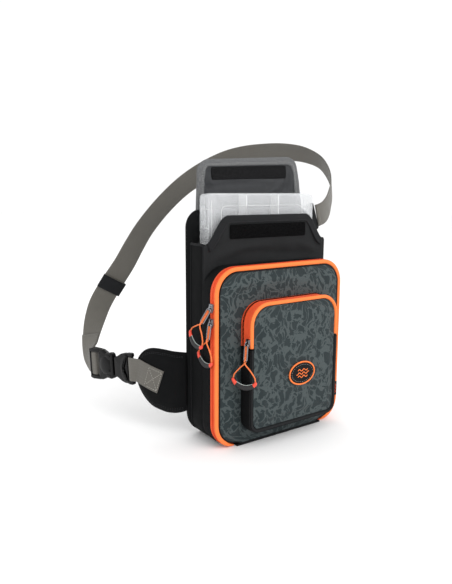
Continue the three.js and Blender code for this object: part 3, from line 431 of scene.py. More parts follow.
def smooth_path(rows, step):
    """Points of a Catmull-Rom curve through the rows: each is a cubic in the share between two rows whose
    slopes are half the difference of their neighbours. They are then spaced evenly."""
    rows = np.asarray(rows, float)
    ends = np.vstack([2 * rows[0] - rows[1], rows, 2 * rows[-1] - rows[-2]])
    t = np.linspace(0, 1, 12, endpoint=False)[:, None]
    spans = []
    for k in range(1, len(ends) - 2):
        a, b, c, d = ends[k - 1], ends[k], ends[k + 1], ends[k + 2]
        bend, twist = 2 * a - 5 * b + 4 * c - d, 3 * b - a - 3 * c + d
        spans.append(0.5 * (2 * b + (c - a) * t + bend * t**2 + twist * t**3))
    curve = np.vstack(spans + [rows[-1:]])
    run = run_along(curve[:, :3])
    at = np.linspace(0, run[-1], max(int(round(run[-1] / step)), 4) + 1)
    return np.stack([np.interp(at, run, curve[:, k]) for k in range(curve.shape[1])], axis=1)


def centripetal(points, steps):
    """Points of a centripetal Catmull-Rom curve, in equal steps between each two of the given points:
    cubics whose slopes weigh the gaps on both sides by the square roots of their lengths."""
    points = np.asarray(points, float)
    p = np.vstack([2 * points[0] - points[1], points, 2 * points[-1] - points[-2]])
    gap = np.linalg.norm(np.diff(p, axis=0), axis=1)[:, None] ** 0.5
    before, here, after = gap[:-2], gap[1:-1], gap[2:]
    a, b, c, d = p[:-3], p[1:-2], p[2:-1], p[3:]
    start = ((b - a) / before - (c - a) / (before + here) + (c - b) / here) * here
    end = ((c - b) / here - (d - b) / (here + after) + (d - c) / after) * here
    t = (np.arange(steps) / steps)[None, :, None]
    cubic = (2 * b - 2 * c + start + end)[:, None] * t**3 + (3 * c - 3 * b - 2 * start - end)[:, None] * t**2
    curve = cubic + start[:, None] * t + b[:, None]
    return np.vstack([curve.reshape(-1, points.shape[1]), points[-1:]])


def unit(vectors):
    return vectors / np.linalg.norm(vectors, axis=-1, keepdims=True)


def cord_part(path, radius, sides=12, loop=False, flat=1.0):
    """A round cord: circles square to the path, turned along it by carrying one side vector from point to
    point. radius may be one number or one for each point."""
    path = np.asarray(path, float)
    if loop:
        tangent = unit(np.roll(path, -1, axis=0) - np.roll(path, 1, axis=0))
    else:
        tangent = unit(np.gradient(path, axis=0))
    hint = np.array([1.0, 0.0, 0.0])
    if abs(tangent[:, 0]).max() > 0.93:
        hint = np.array([0.15, 0.3, 0.95])
    side = unit(hint - tangent * (tangent @ hint)[:, None])
    other = np.cross(tangent, side)
    angle = np.linspace(0, 2 * math.pi, sides, endpoint=False)
    size = np.broadcast_to(np.asarray(radius, float), (len(path),))[:, None, None]
    ring = side[:, None] * np.cos(angle)[None, :, None] * flat + other[:, None] * np.sin(angle)[None, :, None]
    return grid_part(path[:, None] + ring * size, loop=loop)


def ribbon_part(centre, across, width, thickness, cup=0.0, edge_steps=3):
    """A flat band with round edges: a stadium profile carried along the centre line. cup bows it across."""
    tangent = unit(np.gradient(centre, axis=0))
    across = squared(across, tangent)
    normal = np.cross(tangent, across)
    half, deep = width / 2, thickness / 2
    flat = np.linspace(-half + deep, half - deep, 13)
    turn = np.radians(np.linspace(90, -90, 2 * edge_steps + 1))[1:-1]
    right = np.stack([half - deep + deep * np.cos(turn), deep * np.sin(turn)], axis=1)
    top = np.stack([flat, np.full(len(flat), deep)], axis=1)
    bottom = np.stack([flat[::-1], np.full(len(flat), -deep)], axis=1)
    left = np.stack([-half + deep - deep * np.cos(turn), -deep * np.sin(turn)], axis=1)
    profile = np.vstack([top, right, bottom, left])
    bow = cup * (1 - (profile[:, 0] / half) ** 2)
    points = centre[:, None] + across[:, None] * profile[None, :, 0, None]
    points = points + normal[:, None] * (profile[:, 1] + bow)[None, :, None]
    run = run_along(centre)
    steps = np.linalg.norm(np.diff(np.vstack([profile, profile[:1]]), axis=0), axis=1)
    return grid_part(points, us=np.concatenate([run, run[-1:]]), vs=np.concatenate([[0], np.cumsum(steps)]))


def stitch_parts(path, normal, offset=0.15, thick=1.0):
    """Rows of short thread ends: spindles of six sides laid along a path, each dipping into the cloth at
    its ends."""
    s = sizes()
    path = np.asarray(path, float)
    run = run_along(path)
    pitch = s.stitch + s.stitch_gap
    count = int(run[-1] / pitch)
    if count < 1:
        return []
    starts = (np.arange(count) + 0.15) * pitch
    share = np.linspace(0, 1, 5)
    at = starts[:, None] + share[None] * s.stitch
    spots = np.stack([np.interp(at, run, path[:, k]) for k in range(3)], axis=2)
    normal = np.broadcast_to(np.asarray(normal, float), path.shape)
    lift = np.stack([np.interp(at, run, normal[:, k]) for k in range(3)], axis=2)
    tangent = unit(spots[:, -1] - spots[:, 0])[:, None]
    side = unit(np.cross(tangent, lift))
    bow = np.sin(math.pi * share)
    centre = spots + lift * (offset + (bow[None, :, None] - 0.75) * s.thread * 0.5)
    radius = thick * s.thread / 2 * np.clip(bow, 0.2, 1) ** 0.5
    angle = np.linspace(0, 2 * math.pi, 6, endpoint=False)
    across, rise = np.cos(angle)[:, None], np.sin(angle)[:, None]
    ring = side[:, :, None] * across + lift[:, :, None] * rise
    points = centre[:, :, None] + ring * radius[None, :, None, None]
    return [grid_part(one) for one in points]


def plate_part(frame_at, outline, low, high, edge=1.0, steps=3):
    """A flat plate with rounded rims: the closed outline is drawn in by the cosine and raised by the sine
    of a quarter turn at both faces. frame_at maps (along, out, up) to a place."""
    outline = np.asarray(outline, float)
    _, normal = outline_frames(outline, True)
    turn = np.radians(np.linspace(0, 90, steps + 1))
    rows = [(edge * (1 - math.cos(t)), low + edge * (1 - math.sin(t))) for t in turn[::-1]]
    rows += [(edge * (1 - math.cos(t)), high - edge * (1 - math.sin(t))) for t in turn]
    rings = []
    for drawn, level in rows:
        flat = outline - normal * drawn
        rings.append(frame_at(flat[:, 0], np.full(len(flat), level), flat[:, 1]))
    return grid_part(np.array(rings))


# Materials


def new_material(name):
    material = bpy.data.materials.new(name)
    material.use_nodes = True
    tree = material.node_tree
    return material, tree, tree.nodes["Principled BSDF"]


def node(tree, kind, **values):
    made = tree.nodes.new(kind)
    for key, value in values.items():
        if key in made.inputs:
            made.inputs[key].default_value = value
        else:
            setattr(made, key, value)
    return made


def link(tree, start, end):
    tree.links.new(start, end)


def paint(tree, shader, colour_out):
    link(tree, colour_out, shader.inputs["Base Color"])


def put(shader, socket, value):
    shader.inputs[socket].default_value = value


def maths(tree, kind, first, second=None, third=None):
    """One Math node; numbers are set on its sockets and the rest is linked."""
    made = tree.nodes.new("ShaderNodeMath")
    made.operation = kind
    for socket, value in zip(made.inputs, (first, second, third)):
        if value is None:
            continue
        if isinstance(value, (int, float)):
            socket.default_value = value
        else:
            tree.links.new(value, socket)
    return made.outputs[0]


def mix_colour(tree, share, first, second):
    made = tree.nodes.new("ShaderNodeMix")
    made.data_type = "RGBA"
    for socket, value in ((made.inputs[0], share), (made.inputs[6], first), (made.inputs[7], second)):
        if isinstance(value, bpy.types.NodeSocket):
            tree.links.new(value, socket)
        elif isinstance(value, tuple):
            socket.default_value = (*value[:3], 1)
        else:
            socket.default_value = value
    return made.outputs[2]


def cloth_places(tree, kind="UV"):
    """The piece's own UV map in metres, or its Object coordinates, and the separate numbers of that
    place."""
    if kind == "UV":
        source = node(tree, "ShaderNodeUVMap", uv_map="cloth").outputs[0]
    else:
        source = node(tree, "ShaderNodeTexCoord").outputs["Object"]
    split = node(tree, "ShaderNodeSeparateXYZ")
    link(tree, source, split.inputs[0])
    return source, split.outputs


def sine(tree, value, pitch, phase=0.0):
    """sin(2 pi value / pitch + phase)"""
    turned = maths(tree, "MULTIPLY_ADD", value, 2 * math.pi / pitch, phase)
    return maths(tree, "SINE", turned)


def humps(tree, value, pitch):
    """Round humps of the given width side by side: the absolute value of sin(pi value / pitch)."""
    return maths(tree, "ABSOLUTE", maths(tree, "SINE", maths(tree, "MULTIPLY", value, math.pi / pitch)))


def roughen(tree, shader, texture, spread, low):
    """Roughness from low to low + spread, by the texture's value."""
    link(tree, maths(tree, "MULTIPLY_ADD", texture, spread, low), shader.inputs["Roughness"])


def noise(tree, source, scale, detail=2.0, rough=0.5, distortion=0.0):
    made = node(tree, "ShaderNodeTexNoise", Scale=scale, Detail=detail, Roughness=rough,
        Distortion=distortion)
    link(tree, source, made.inputs["Vector"])
    return made.outputs[0]


def warped(tree, source, scale, reach):
    """The place moved by a coloured noise, by up to half the reach each way."""
    texture = node(tree, "ShaderNodeTexNoise", Scale=scale, Detail=1.0)
    link(tree, source, texture.inputs["Vector"])
    centred = node(tree, "ShaderNodeVectorMath")
    centred.operation = "SUBTRACT"
    link(tree, texture.outputs["Color"], centred.inputs[0])
    centred.inputs[1].default_value = (0.5, 0.5, 0.5)
    moved = node(tree, "ShaderNodeVectorMath")
    moved.operation = "MULTIPLY_ADD"
    link(tree, centred.outputs[0], moved.inputs[0])
    moved.inputs[1].default_value = (reach, reach, reach)
    link(tree, source, moved.inputs[2])
    return moved.outputs[0]


def plain_weave(tree, u, v, pitch):
    """Height of a plain weave: warp threads stand up on the light squares of a board and weft on the dark
    ones, each a round hump across its own width."""
    warp = humps(tree, u, pitch)
    weft = humps(tree, v, pitch)
    sign = maths(tree, "MULTIPLY", sine(tree, u, 2 * pitch), sine(tree, v, 2 * pitch))
    board = maths(tree, "MULTIPLY_ADD", sign, 0.5, 0.5)
    first = maths(tree, "MULTIPLY", warp, board)
    second = maths(tree, "MULTIPLY", weft, maths(tree, "SUBTRACT", 1.0, board))
    return maths(tree, "ADD", first, second)


def bump(tree, shader, height, strength, distance):
    made = node(tree, "ShaderNodeBump", Strength=strength, Distance=distance)
    link(tree, height, made.inputs["Height"])
    link(tree, made.outputs[0], shader.inputs["Normal"])


def shaded(tree, source, base, spread, scale):
    """A base colour varied darker and lighter by soft noise."""
    dark = tuple(c * (1 - spread) for c in base)
    light = tuple(min(c * (1 + spread), 1.0) for c in base)
    return mix_colour(tree, noise(tree, source, scale, 3.0, 0.6), dark, light)


def woven_cloth(name, base, pitch, rough=0.82, sheen=0.15, strength=0.5, kind="UV", specular=0.1):
    """Woven cloth: plain weave as bump, painted shade darkening the threads in the hollows, blotches and a
    dull sheen."""
    material, tree, shader = new_material(name)
    source, place = cloth_places(tree, kind)
    weave = plain_weave(tree, place[0], place[1], pitch * MM)
    tone = shaded(tree, source, tuple(base), 0.16, 38.0)
    # deep: painted shade, the base darkened where the weave's hollows lie
    deep = tuple(c * 0.55 for c in base)
    colour_out = mix_colour(tree, maths(tree, "MULTIPLY_ADD", weave, 0.6, 0.4), deep, tone)
    paint(tree, shader, colour_out)
    roughen(tree, shader, noise(tree, source, 60.0), 0.2, rough - 0.1)
    put(shader, "Sheen Weight", sheen)
    put(shader, "Sheen Roughness", 0.4)
    bump(tree, shader, weave, strength, 0.0004)
    put(shader, "Specular IOR Level", specular)
    return material


def ribbed_tape(name, base, pitch, along=True, rough=0.7, strength=0.6, spread=0.12, speckle=55.0):
    """Ribbed tape: half-round ribs across or along its run, with fine threads in them and soft wear."""
    material, tree, shader = new_material(name)
    source, place = cloth_places(tree)
    rib = humps(tree, place[0 if along else 1], pitch * MM)
    thread = humps(tree, place[1 if along else 0], pitch * 0.5 * MM)
    height = maths(tree, "MULTIPLY_ADD", thread, 0.3, rib)
    tone = shaded(tree, source, tuple(base), spread, speckle)
    # deep: painted shade in the troughs between the ribs
    deep = tuple(c * 0.72 for c in base)
    paint(tree, shader, mix_colour(tree, maths(tree, "MULTIPLY_ADD", rib, 0.5, 0.5), deep, tone))
    roughen(tree, shader, noise(tree, source, 80.0), 0.16, rough - 0.08)
    put(shader, "Sheen Weight", 0.03)
    put(shader, "Specular IOR Level", 0.15)
    bump(tree, shader, height, strength, 0.0004)
    return material


def webbing_cloth(name, base, row):
    """Webbing: rows of warp run along it, crossed by slanted picks that turn from row to row."""
    material, tree, shader = new_material(name)
    source, place = cloth_places(tree)
    u, v = place[0], place[1]
    rows = humps(tree, v, row * MM)
    slant = maths(tree, "PINGPONG", v, row * MM)
    picks = sine(tree, maths(tree, "ADD", u, maths(tree, "MULTIPLY", slant, 0.8)), row * 0.62 * MM)
    height = maths(tree, "ADD", maths(tree, "MULTIPLY", rows, 0.5),
        maths(tree, "MULTIPLY_ADD", picks, 0.35, 0.35))
    tone = shaded(tree, source, tuple(base), 0.12, 30.0)
    # deep: painted shade in the hollows between the rows and picks
    deep = tuple(c * 0.6 for c in base)
    paint(tree, shader, mix_colour(tree, maths(tree, "MULTIPLY_ADD", height, 0.5, 0.45), deep, tone))
    roughen(tree, shader, noise(tree, source, 90.0), 0.15, 0.6)
    put(shader, "Sheen Weight", 0.2)
    bump(tree, shader, height, 0.7, 0.0006)
    return material


def printed_cloth(name, light, dark, pitch):
    """Printed cloth: dark ragged patches on a lighter ground, over a plain weave. The patches are the
    insides of stretched cells whose places are bent by a slow noise and frayed by a fine one, and the gap
    between them follows a third noise."""
    material, tree, shader = new_material(name)
    source, place = cloth_places(tree)
    weave = plain_weave(tree, place[0], place[1], pitch * MM)
    bent = warped(tree, warped(tree, source, 34.0, 0.042), 200.0, 0.0095)
    stretched = node(tree, "ShaderNodeMapping")
    stretched.inputs["Scale"].default_value = (1.0, 1.75, 1.0)
    link(tree, bent, stretched.inputs[0])
    cells = node(tree, "ShaderNodeTexVoronoi", Scale=53.0)
    cells.feature = "DISTANCE_TO_EDGE"
    link(tree, stretched.outputs[0], cells.inputs["Vector"])
    gap = maths(tree, "MULTIPLY_ADD", noise(tree, source, 60.0, 1.0), 0.28, -0.045)
    patch = maths(tree, "SUBTRACT", cells.outputs["Distance"], gap)
    ramp = node(tree, "ShaderNodeValToRGB")
    ramp.color_ramp.elements[0].position = 0.0
    ramp.color_ramp.elements[1].position = 0.03
    link(tree, maths(tree, "ADD", patch, 0.015), ramp.inputs[0])
    base = mix_colour(tree, ramp.outputs[0], tuple(light), tuple(dark))
    worn = mix_colour(tree, maths(tree, "MULTIPLY", noise(tree, source, 20.0, 4.0), 0.12), base,
        (0.08, 0.09, 0.09))
    # Painted shade: the weave's hollows darkened towards near black
    shade = mix_colour(tree, maths(tree, "MULTIPLY_ADD", weave, 0.5, 0.5), (0.012, 0.014, 0.014), worn)
    paint(tree, shader, shade)
    roughen(tree, shader, noise(tree, source, 70.0), 0.16, 0.66)
    put(shader, "Sheen Weight", 0.04)
    put(shader, "Specular IOR Level", 0.3)
    bump(tree, shader, weave, 0.45, 0.0004)
    return material


def pile(name, base, scale, strength):
    """Hook or loop pile: crowded round tufts as bump, lighter at their tips as a painted highlight."""
    material, tree, shader = new_material(name)
    source, _ = cloth_places(tree, "Object")
    tufts = node(tree, "ShaderNodeTexVoronoi", Scale=scale)
    link(tree, source, tufts.inputs["Vector"])
    height = maths(tree, "SUBTRACT", 1.0, tufts.outputs["Distance"])
    # light: painted highlight on the tufts' tips
    light = tuple(min(c * 2.0 + 0.012, 1) for c in base)
    paint(tree, shader, mix_colour(tree, maths(tree, "POWER", height, 3.0), tuple(base), light))
    roughen(tree, shader, noise(tree, source, 150.0), 0.1, 0.86)
    put(shader, "Sheen Weight", 0.0)
    put(shader, "Specular IOR Level", 0.03)
    bump(tree, shader, height, strength, 0.0009)
    return material


def moulded(name, base, rough, grain=900.0, strength=0.12, coat=0.0, specular=0.5):
    """Moulded plastic: faint grain and flow marks, roughness that varies where it has been handled."""
    material, tree, shader = new_material(name)
    source, _ = cloth_places(tree, "Object")
    handled = noise(tree, source, 45.0, 4.0, 0.6)
    paint(tree, shader, shaded(tree, source, tuple(base), 0.12, 90.0))
    roughen(tree, shader, handled, 0.22, rough - 0.11)
    put(shader, "Coat Weight", coat)
    put(shader, "Specular IOR Level", specular)
    bump(tree, shader, noise(tree, source, grain, 2.0), strength, 0.0002)
    return material


def plated(name, base, rough):
    """Plated metal: brushed along its length, with darker tarnish in patches."""
    material, tree, shader = new_material(name)
    source, _ = cloth_places(tree, "Object")
    tarnish = noise(tree, source, 240.0, 4.0, 0.65)
    paint(tree, shader, mix_colour(tree, tarnish, tuple(c * 0.5 for c in base), tuple(base)))
    roughen(tree, shader, tarnish, 0.25, rough - 0.1)
    put(shader, "Metallic", 1.0)
    bump(tree, shader, noise(tree, source, 1400.0, 2.0), 0.15, 0.0001)
    return material


def clear_shell(name, base, alpha, rough):
    """Clear moulded plastic: see-through and glossy, hazier in soft streaks."""
    material, tree, shader = new_material(name)
    source, _ = cloth_places(tree, "Object")
    haze = noise(tree, source, 30.0, 3.0, 0.6)
    paint(tree, shader, shaded(tree, source, tuple(base), 0.05, 25.0))
    roughen(tree, shader, haze, 0.14, rough)
    put(shader, "Alpha", alpha)
    put(shader, "Specular IOR Level", 0.7)
    put(shader, "Coat Weight", 0.3)
    bump(tree, shader, noise(tree, source, 300.0, 2.0), 0.05, 0.0002)
    return material


def grip_rubber(name, base, tip, run):
    """Moulded grip: coloured ends by its run, and a fine grain."""
    material, tree, shader = new_material(name)
    source, place = cloth_places(tree)
    share = maths(tree, "DIVIDE", place[0], run * MM)
    ends = maths(tree, "GREATER_THAN", maths(tree, "ABSOLUTE", maths(tree, "SUBTRACT", share, 0.5)), 0.34)
    body = mix_colour(tree, ends, tuple(base), tuple(tip))
    paint(tree, shader, body)
    handled = noise(tree, source, 60.0, 3.0)
    roughen(tree, shader, handled, 0.2, 0.4)
    bump(tree, shader, noise(tree, source, 900.0), 0.15, 0.0002)
    return material


def braided(name, base, pitch):
    """Braided cord: two sets of slanted strands crossing round it."""
    material, tree, shader = new_material(name)
    source, place = cloth_places(tree)
    one = sine(tree, maths(tree, "ADD", place[0], place[1]), pitch * MM)
    two = sine(tree, maths(tree, "SUBTRACT", place[0], place[1]), pitch * MM)
    height = maths(tree, "MAXIMUM", one, two)
    # deep: painted shade in the gaps between the strands
    deep = tuple(c * 0.5 for c in base)
    paint(tree, shader, mix_colour(tree, maths(tree, "MULTIPLY_ADD", height, 0.4, 0.6), deep, tuple(base)))
    roughen(tree, shader, noise(tree, source, 90.0), 0.15, 0.5)
    bump(tree, shader, height, 0.6, 0.0003)
    return material


made_materials = {}


def finish_of(name):
    """The named finish, made once."""
    if name not in made_materials:
        c, s = colours(), sizes()
        wall = {"rough": 0.72, "sheen": 0.0, "specular": 0.08}
        recipes = {
            # One black cloth in two copies: the first is lighter as painted light, the second is darker as
            # painted shade
            "black cloth": lambda: woven_cloth("black_cloth_painted_light", c.black, s.weave, **wall),
            "side black in painted shade": lambda: woven_cloth("side_black_painted_shade", c.side, s.weave, **wall),
            "pad cloth": lambda: woven_cloth("pad_cloth", c.pad, s.weave * 1.2, 0.8, 0.03, 0.5),
            "lining": lambda: woven_cloth("flap_lining", c.lining, s.weave, 0.55, 0.05, 0.3),
            "flap tape": lambda: ribbed_tape(
                "flap_tape", c.flap_tape, s.rib * 1.3, rough=0.75, strength=0.9, spread=0.85, speckle=330.0,
            ),
            "edge tape": lambda: ribbed_tape("edge_tape", c.edge_tape, s.rib),
            "strip": lambda: pile("hook_loop", c.strip, 620.0, 1.0),
            "loop": lambda: pile("loop_pile", c.loop, 700.0, 0.7),
            "piping": lambda: ribbed_tape("piping", c.orange, s.rib, True, 0.6, 0.25, 0.05),
            "zip tape": lambda: ribbed_tape("zip_tape", c.zip_orange, s.rib, False, 0.6, 0.5, 0.08),
            "print": lambda: printed_cloth("printed_cloth", c.camo_light, c.camo_dark, s.weave),
            "webbing": lambda: webbing_cloth("webbing", c.webbing, s.webbing_row),
            "plastic": lambda: moulded("black_plastic", c.plastic, 0.24, coat=0.04, specular=0.2),
            "metal": lambda: plated("zip_metal", c.metal, 0.2),
            "cord": lambda: braided("pull_cord", c.orange, 1.2),
            "clear": lambda: clear_shell("clear_shell", c.clear, 0.27, 0.06),
            "clear rib": lambda: clear_shell("clear_rib", c.divider, 0.62, 0.15),
            "divider": lambda: clear_shell("box_divider", c.divider, 0.92, 0.3),
            "black thread": lambda: braided("black_thread", tint(44, 45, 48), 0.7),
            "gray thread": lambda: braided("gray_thread", tint(168, 168, 166), 0.7),
            "web thread": lambda: braided("web_thread", tint(186, 184, 176), 0.7),
            "grip painted highlight": lambda: moulded("grip_painted_highlight", c.grip_painted_highlight, 0.3, coat=0.4),
            "badge": lambda: woven_cloth("badge_cloth", tint(24, 25, 26), 0.5, 0.6, 0.0, 0.5),
        }
        made_materials[name] = recipes[name]()
    return made_materials[name]


# Back panel and main compartment


def make_back_pad():
    """Padded back: a rounded slab, its edge a quarter circle, its rear face swelling between stitched
    channels."""
    (x0, y0, z0), (x1, y1, z1) = span("back_panel")
    outline = resample(rounded_outline(x0, x1, z0, z1, 38, 27), 3.0, True)
    centre = (y0 + y1) / 2
    half = (y1 - y0) / 2

    def swell(x, z, d):
        lanes = np.minimum(np.abs(np.abs(x) - 30), 40) / 40
        rungs = np.abs(np.sin(math.pi * (z - 20) / 76))
        seams = 1 - 0.55 * np.exp(-((np.abs(x) - 30) / 4.5) ** 2) - 0.35 * np.exp(-(rungs / 0.09) ** 2) * (
            np.abs(x) > 30)
        return seams * soft_step(d, 4, 22) + 0.15 * lanes * soft_step(d, 4, 22)

    def rear(x, z, d):
        return centre + half * 0.55 * round_edge(d, 7) + (half * 0.45 + 1.0) * swell(x, z, d)

    def front(x, z, d):
        return centre - half * round_edge(d, 6)

    part = slab_part(outline, front, rear, 4.0, 6.0)
    piece = add_piece("back_pad", [part], "pad cloth", stands_for=["back_panel"])

    inner = resample(rounded_outline(x0 + 6, x1 - 6, z0 + 6, z1 - 6, 32, 21), 2.0, True)
    thread = np.stack([inner[:, 0], np.full(len(inner), y1 - 2.2), inner[:, 1]], axis=1)
    add_piece("back_pad_stitches", stitch_parts(thread, (0, 1, 0), 0.4), "black thread")


BODY_CORNER = 34
CLOTH_WALL = 2.2
TONGUE_FOOT = 113
TONGUE_TOP = 76
TAPE_WIDTH = 10.5
TAPE_FOLD = 1.5


def body_outline():
    """Outline of the main compartment from the top of its left side, down and round to its right side."""
    (x0, _, z0), (x1, _, z1) = span("main_gusset")
    corner = BODY_CORNER
    return np.vstack([
        [[x0, z1], [x0, z0 + corner + 2]],
        arc(x0 + corner, z0 + corner, corner, 180, 270, 14),
        arc(x1 - corner, z0 + corner, corner, 270, 360, 14),
        [[x1, z0 + corner + 2], [x1, z1]],
    ])


def wall_profile(y0, y1, wall, steps=9):
    """Closed profile of a cloth wall: its outer face from front to back and its inner face from back to
    front."""
    y = np.linspace(y0, y1, steps)
    outer = np.stack([np.zeros(steps), y], axis=1)
    inner = np.stack([np.full(steps, -wall), y[::-1]], axis=1)
    return np.vstack([outer, inner])


def make_main_compartment():
    """Side wall: a cloth wall carried along the body's outline, bulging by a half sine between its two
    seams. Front wall: a sheet over the tongue's outline with soft wrinkles. Seams and rims are round
    cords."""
    s = sizes()
    (_, y0, _), (_, y1, top) = span("main_gusset")
    outline = resample(body_outline(), 3.5)

    def shift(run, y, out):
        share = (y - y0) / (y1 - y0)
        wave = ripples(np.broadcast_to(run, y.shape) * 0.6, y * 2.0, 5, 60.0)
        bow = np.sin(math.pi * share) * s.side_bulge + 0.35 * wave * np.sin(math.pi * share)
        seam = -0.9 * np.exp(-((share - 0.02) / 0.07) ** 2) - 0.9 * np.exp(-((share - 0.98) / 0.07) ** 2)
        return np.maximum(bow + seam, -1.0), y * 0

    side = hoop_part(outline, wall_profile(y0, y1, CLOTH_WALL, 13), False, shift)
    # The side wall takes the copy of the black cloth that is darkened as painted shade
    add_piece("side_wall", [side], "side black in painted shade", stands_for=["main_gusset"])

    (x0, f0, z0), (x1, f1, _) = span("front_wall")
    corner = BODY_CORNER
    wall = np.vstack([
        [[x0, top]],
        arc(x0 + corner, z0 + corner, corner, 180, 270, 12),
        arc(x1 - corner, z0 + corner, corner, 270, 360, 12),
        [[x1, top]],
        tongue_edge(0.0)[::-1],
    ])
    middle, half = (f0 + f1) / 2, (f1 - f0) / 2

    def slack(x, z):
        folds = creases(x, z, [
            (-60, 288, 12, 40, 7, -0.9), (20, 280, -4, 70, 6, 0.8), (75, 290, -20, 30, 6, -0.7),
            (-95, 300, 60, 22, 6, 0.9), (98, 298, -62, 22, 6, 0.9), (-20, 300, 3, 60, 8, -0.6),
        ])
        under_strip = soft_step(z, 290, 300) * (1 - soft_step(np.abs(x), 78, 88))
        return (folds * s.wrinkle * 1.7 + 0.9 * ripples(x, z, 3, 48.0)) * (1 - 0.92 * under_strip)

    def give(x, z, d):
        return slack(x, z) * soft_step(d, 2, 18) * soft_step(z, 262, 275)

    def front(x, z, d):
        return middle - half * round_edge(d, half) + give(x, z, d)

    def back(x, z, d):
        return middle + half * round_edge(d, half) + give(x, z, d)

    sheet = slab_part(wall, front, back, 3.6, 1.6)
    # The front wall takes the copy of the black cloth that is lightened as painted light
    add_piece("front_wall_cloth", [sheet], "black cloth", stands_for=["front_wall"])

    cord = 0.9
    seams = []
    for y in (y1 + 0.15, y0 - 0.3):
        ring = resample(body_outline(), 3.0)
        seams.append(hoop_part(ring,
            [(cord * math.cos(a) - 0.2, y + cord * math.sin(a))
            for a in np.linspace(0, 2 * math.pi, 8, endpoint=False)], False))
    add_piece("body_seams", seams, "edge tape")

    lip = 2.0
    rims = []
    for x, sign in ((x0, 1), (x1, -1)):
        y = np.linspace(y0 + 0.5, y1 - 0.5, 14)
        bow = np.sin(math.pi * (y - y0) / (y1 - y0)) * s.side_bulge * sign * -1
        path = np.stack([np.full(14, x) + sign * 1.1 + bow, y, np.full(14, top - 0.2)], axis=1)
        rims.append(cord_part(path, lip, 12))
    add_piece("side_rims", rims, "edge tape")


def tongue_edge(offset):
    """The tongue's upper edge from left to right, a cubic Bezier curve and its mirror image, moved out
    along its normal by the offset."""
    foot, top = np.array([-TONGUE_FOOT, 298.0]), np.array([-TONGUE_TOP, 338.0])
    slope = TONGUE_FOOT - TONGUE_TOP
    ends = np.array([foot, foot + [slope * 0.28, 2], top - [slope * 0.42, 2], top])
    t = np.linspace(0, 1, 17)[:, None]
    curve = (1 - t) ** 3 * ends[0] + 3 * (1 - t) ** 2 * t * ends[1] + 3 * (1 - t) * t**2 * ends[
        2] + t**3 * ends[3]
    run = unit(np.gradient(curve, axis=0))
    moved = curve + np.stack([-run[:, 1], run[:, 0]], axis=1) * offset
    mirrored = moved[::-1] * [-1, 1]
    return np.vstack([moved, mirrored])


def binding_part(inner, outer, y0, y1, steps=6):
    """Binding folded over an edge: between its inner edge and its fold the profile is a flat U, whose faces
    are the two cloth sides and whose bend is a half circle."""
    inner, outer = np.asarray(inner, float), np.asarray(outer, float)
    middle, half = (y0 + y1) / 2, (y1 - y0) / 2
    width = np.linalg.norm(outer - inner, axis=1).mean()
    bend = min(half / width, 0.45)
    rows = [(0.0, 0.78), (0.03, 1.0)] + [(v, 1.0) for v in np.linspace(0.2, 1 - bend, 4)]
    rows += [(1 - bend + bend * math.sin(a), math.cos(a)) for a in np.linspace(0.3, math.pi / 2, steps)]
    profile = rows + [(a, -b) for a, b in rows[::-1][1:]]
    points = np.array([
        [[*(i + (o - i) * a), middle + half * b] for a, b in profile] for i, o in zip(inner, outer)
    ])
    return grid_part(points[:, :, [0, 2, 1]])


def make_tongue_trim():
    """Binding along the tongue's edge, its stitches, and the hook strip: a block with rounded rims."""
    (_, y0, _), (_, y1, _) = span("tongue_tape")
    edges = tongue_edge(-TAPE_WIDTH), tongue_edge(TAPE_FOLD)
    count = max(len(resample(edge, 2.5)) for edge in edges)
    inner, outer = (spaced(edge, count) for edge in edges)
    tape = binding_part(inner, outer, y0, y1)
    add_piece("tongue_binding", [tape], "edge tape", stands_for=["tongue_tape"])

    line = inner + (outer - inner) * 0.16
    thread = np.stack([line[:, 0], np.full(len(line), y0), line[:, 1]], axis=1)
    add_piece("tongue_stitches", stitch_parts(thread, (0, -1, 0), 0.12), "black thread")
    make_strip("tongue_strip", "hook_strip")


def make_strip(name, stands_for):
    """Hook or loop strip: a low rounded block, wavy in its surface."""
    (x0, y0, z0), (x1, y1, z1) = span(stands_for)
    outline = resample(rounded_outline(x0, x1, z0, z1, 2.0, 2.0, 4), 2.0, True)
    middle, half = (y0 + y1) / 2, (y1 - y0) / 2

    def front(x, z, d):
        return middle - half * round_edge(d, 1.2) + 0.15 * ripples(x, z, 11, 22.0)

    def back(x, z, d):
        return middle + half * round_edge(d, 1.2)

    part = slab_part(outline, front, back, 2.4, 1.4)
    add_piece(name, [part], "strip", stands_for=[stands_for])


# Flap


FLAP_LEAN = math.radians(6)
FLAP_ROOT = 103
FLAP_ROOT_Y = 36.15
FLAP_HALF = 1.25
FLAP_TAPE_HALF = FLAP_HALF + 1.5


def flap_place(x, out, z):
    """From the flap's own frame, root at z = 0, to its leaning place; it sags a little towards its left
    corner."""
    lean = FLAP_LEAN
    top = span("back_panel")[1][2]
    root = (FLAP_ROOT_Y, top + 0.56)
    z = z * (1 - 0.13 * (0.5 - x / (2 * FLAP_ROOT)))
    y = root[0] + out * math.cos(lean) + z * math.sin(lean)
    up = root[1] + z * math.cos(lean) - out * math.sin(lean)
    return np.stack([x, y, up], axis=-1)


def leaning(part):
    """Moves a surface from the flap's frame to its place."""
    points = part[0]
    return (flap_place(points[:, 0], points[:, 1], points[:, 2]),) + tuple(part[1:])


def flap_outline(offset=0.0):
    """Trapezium with its root at z = 0 and its two upper corners rounded, from its left root corner."""
    root, end, top, radius = FLAP_ROOT + offset, 97 + offset, 81 + offset, 20 + offset
    return np.vstack([
        [[-root, -3]],
        arc(-end + radius, top - radius, radius, 180, 90, 12),
        arc(end - radius, top - radius, radius, 90, 0, 12),
        [[root, -3]],
    ])


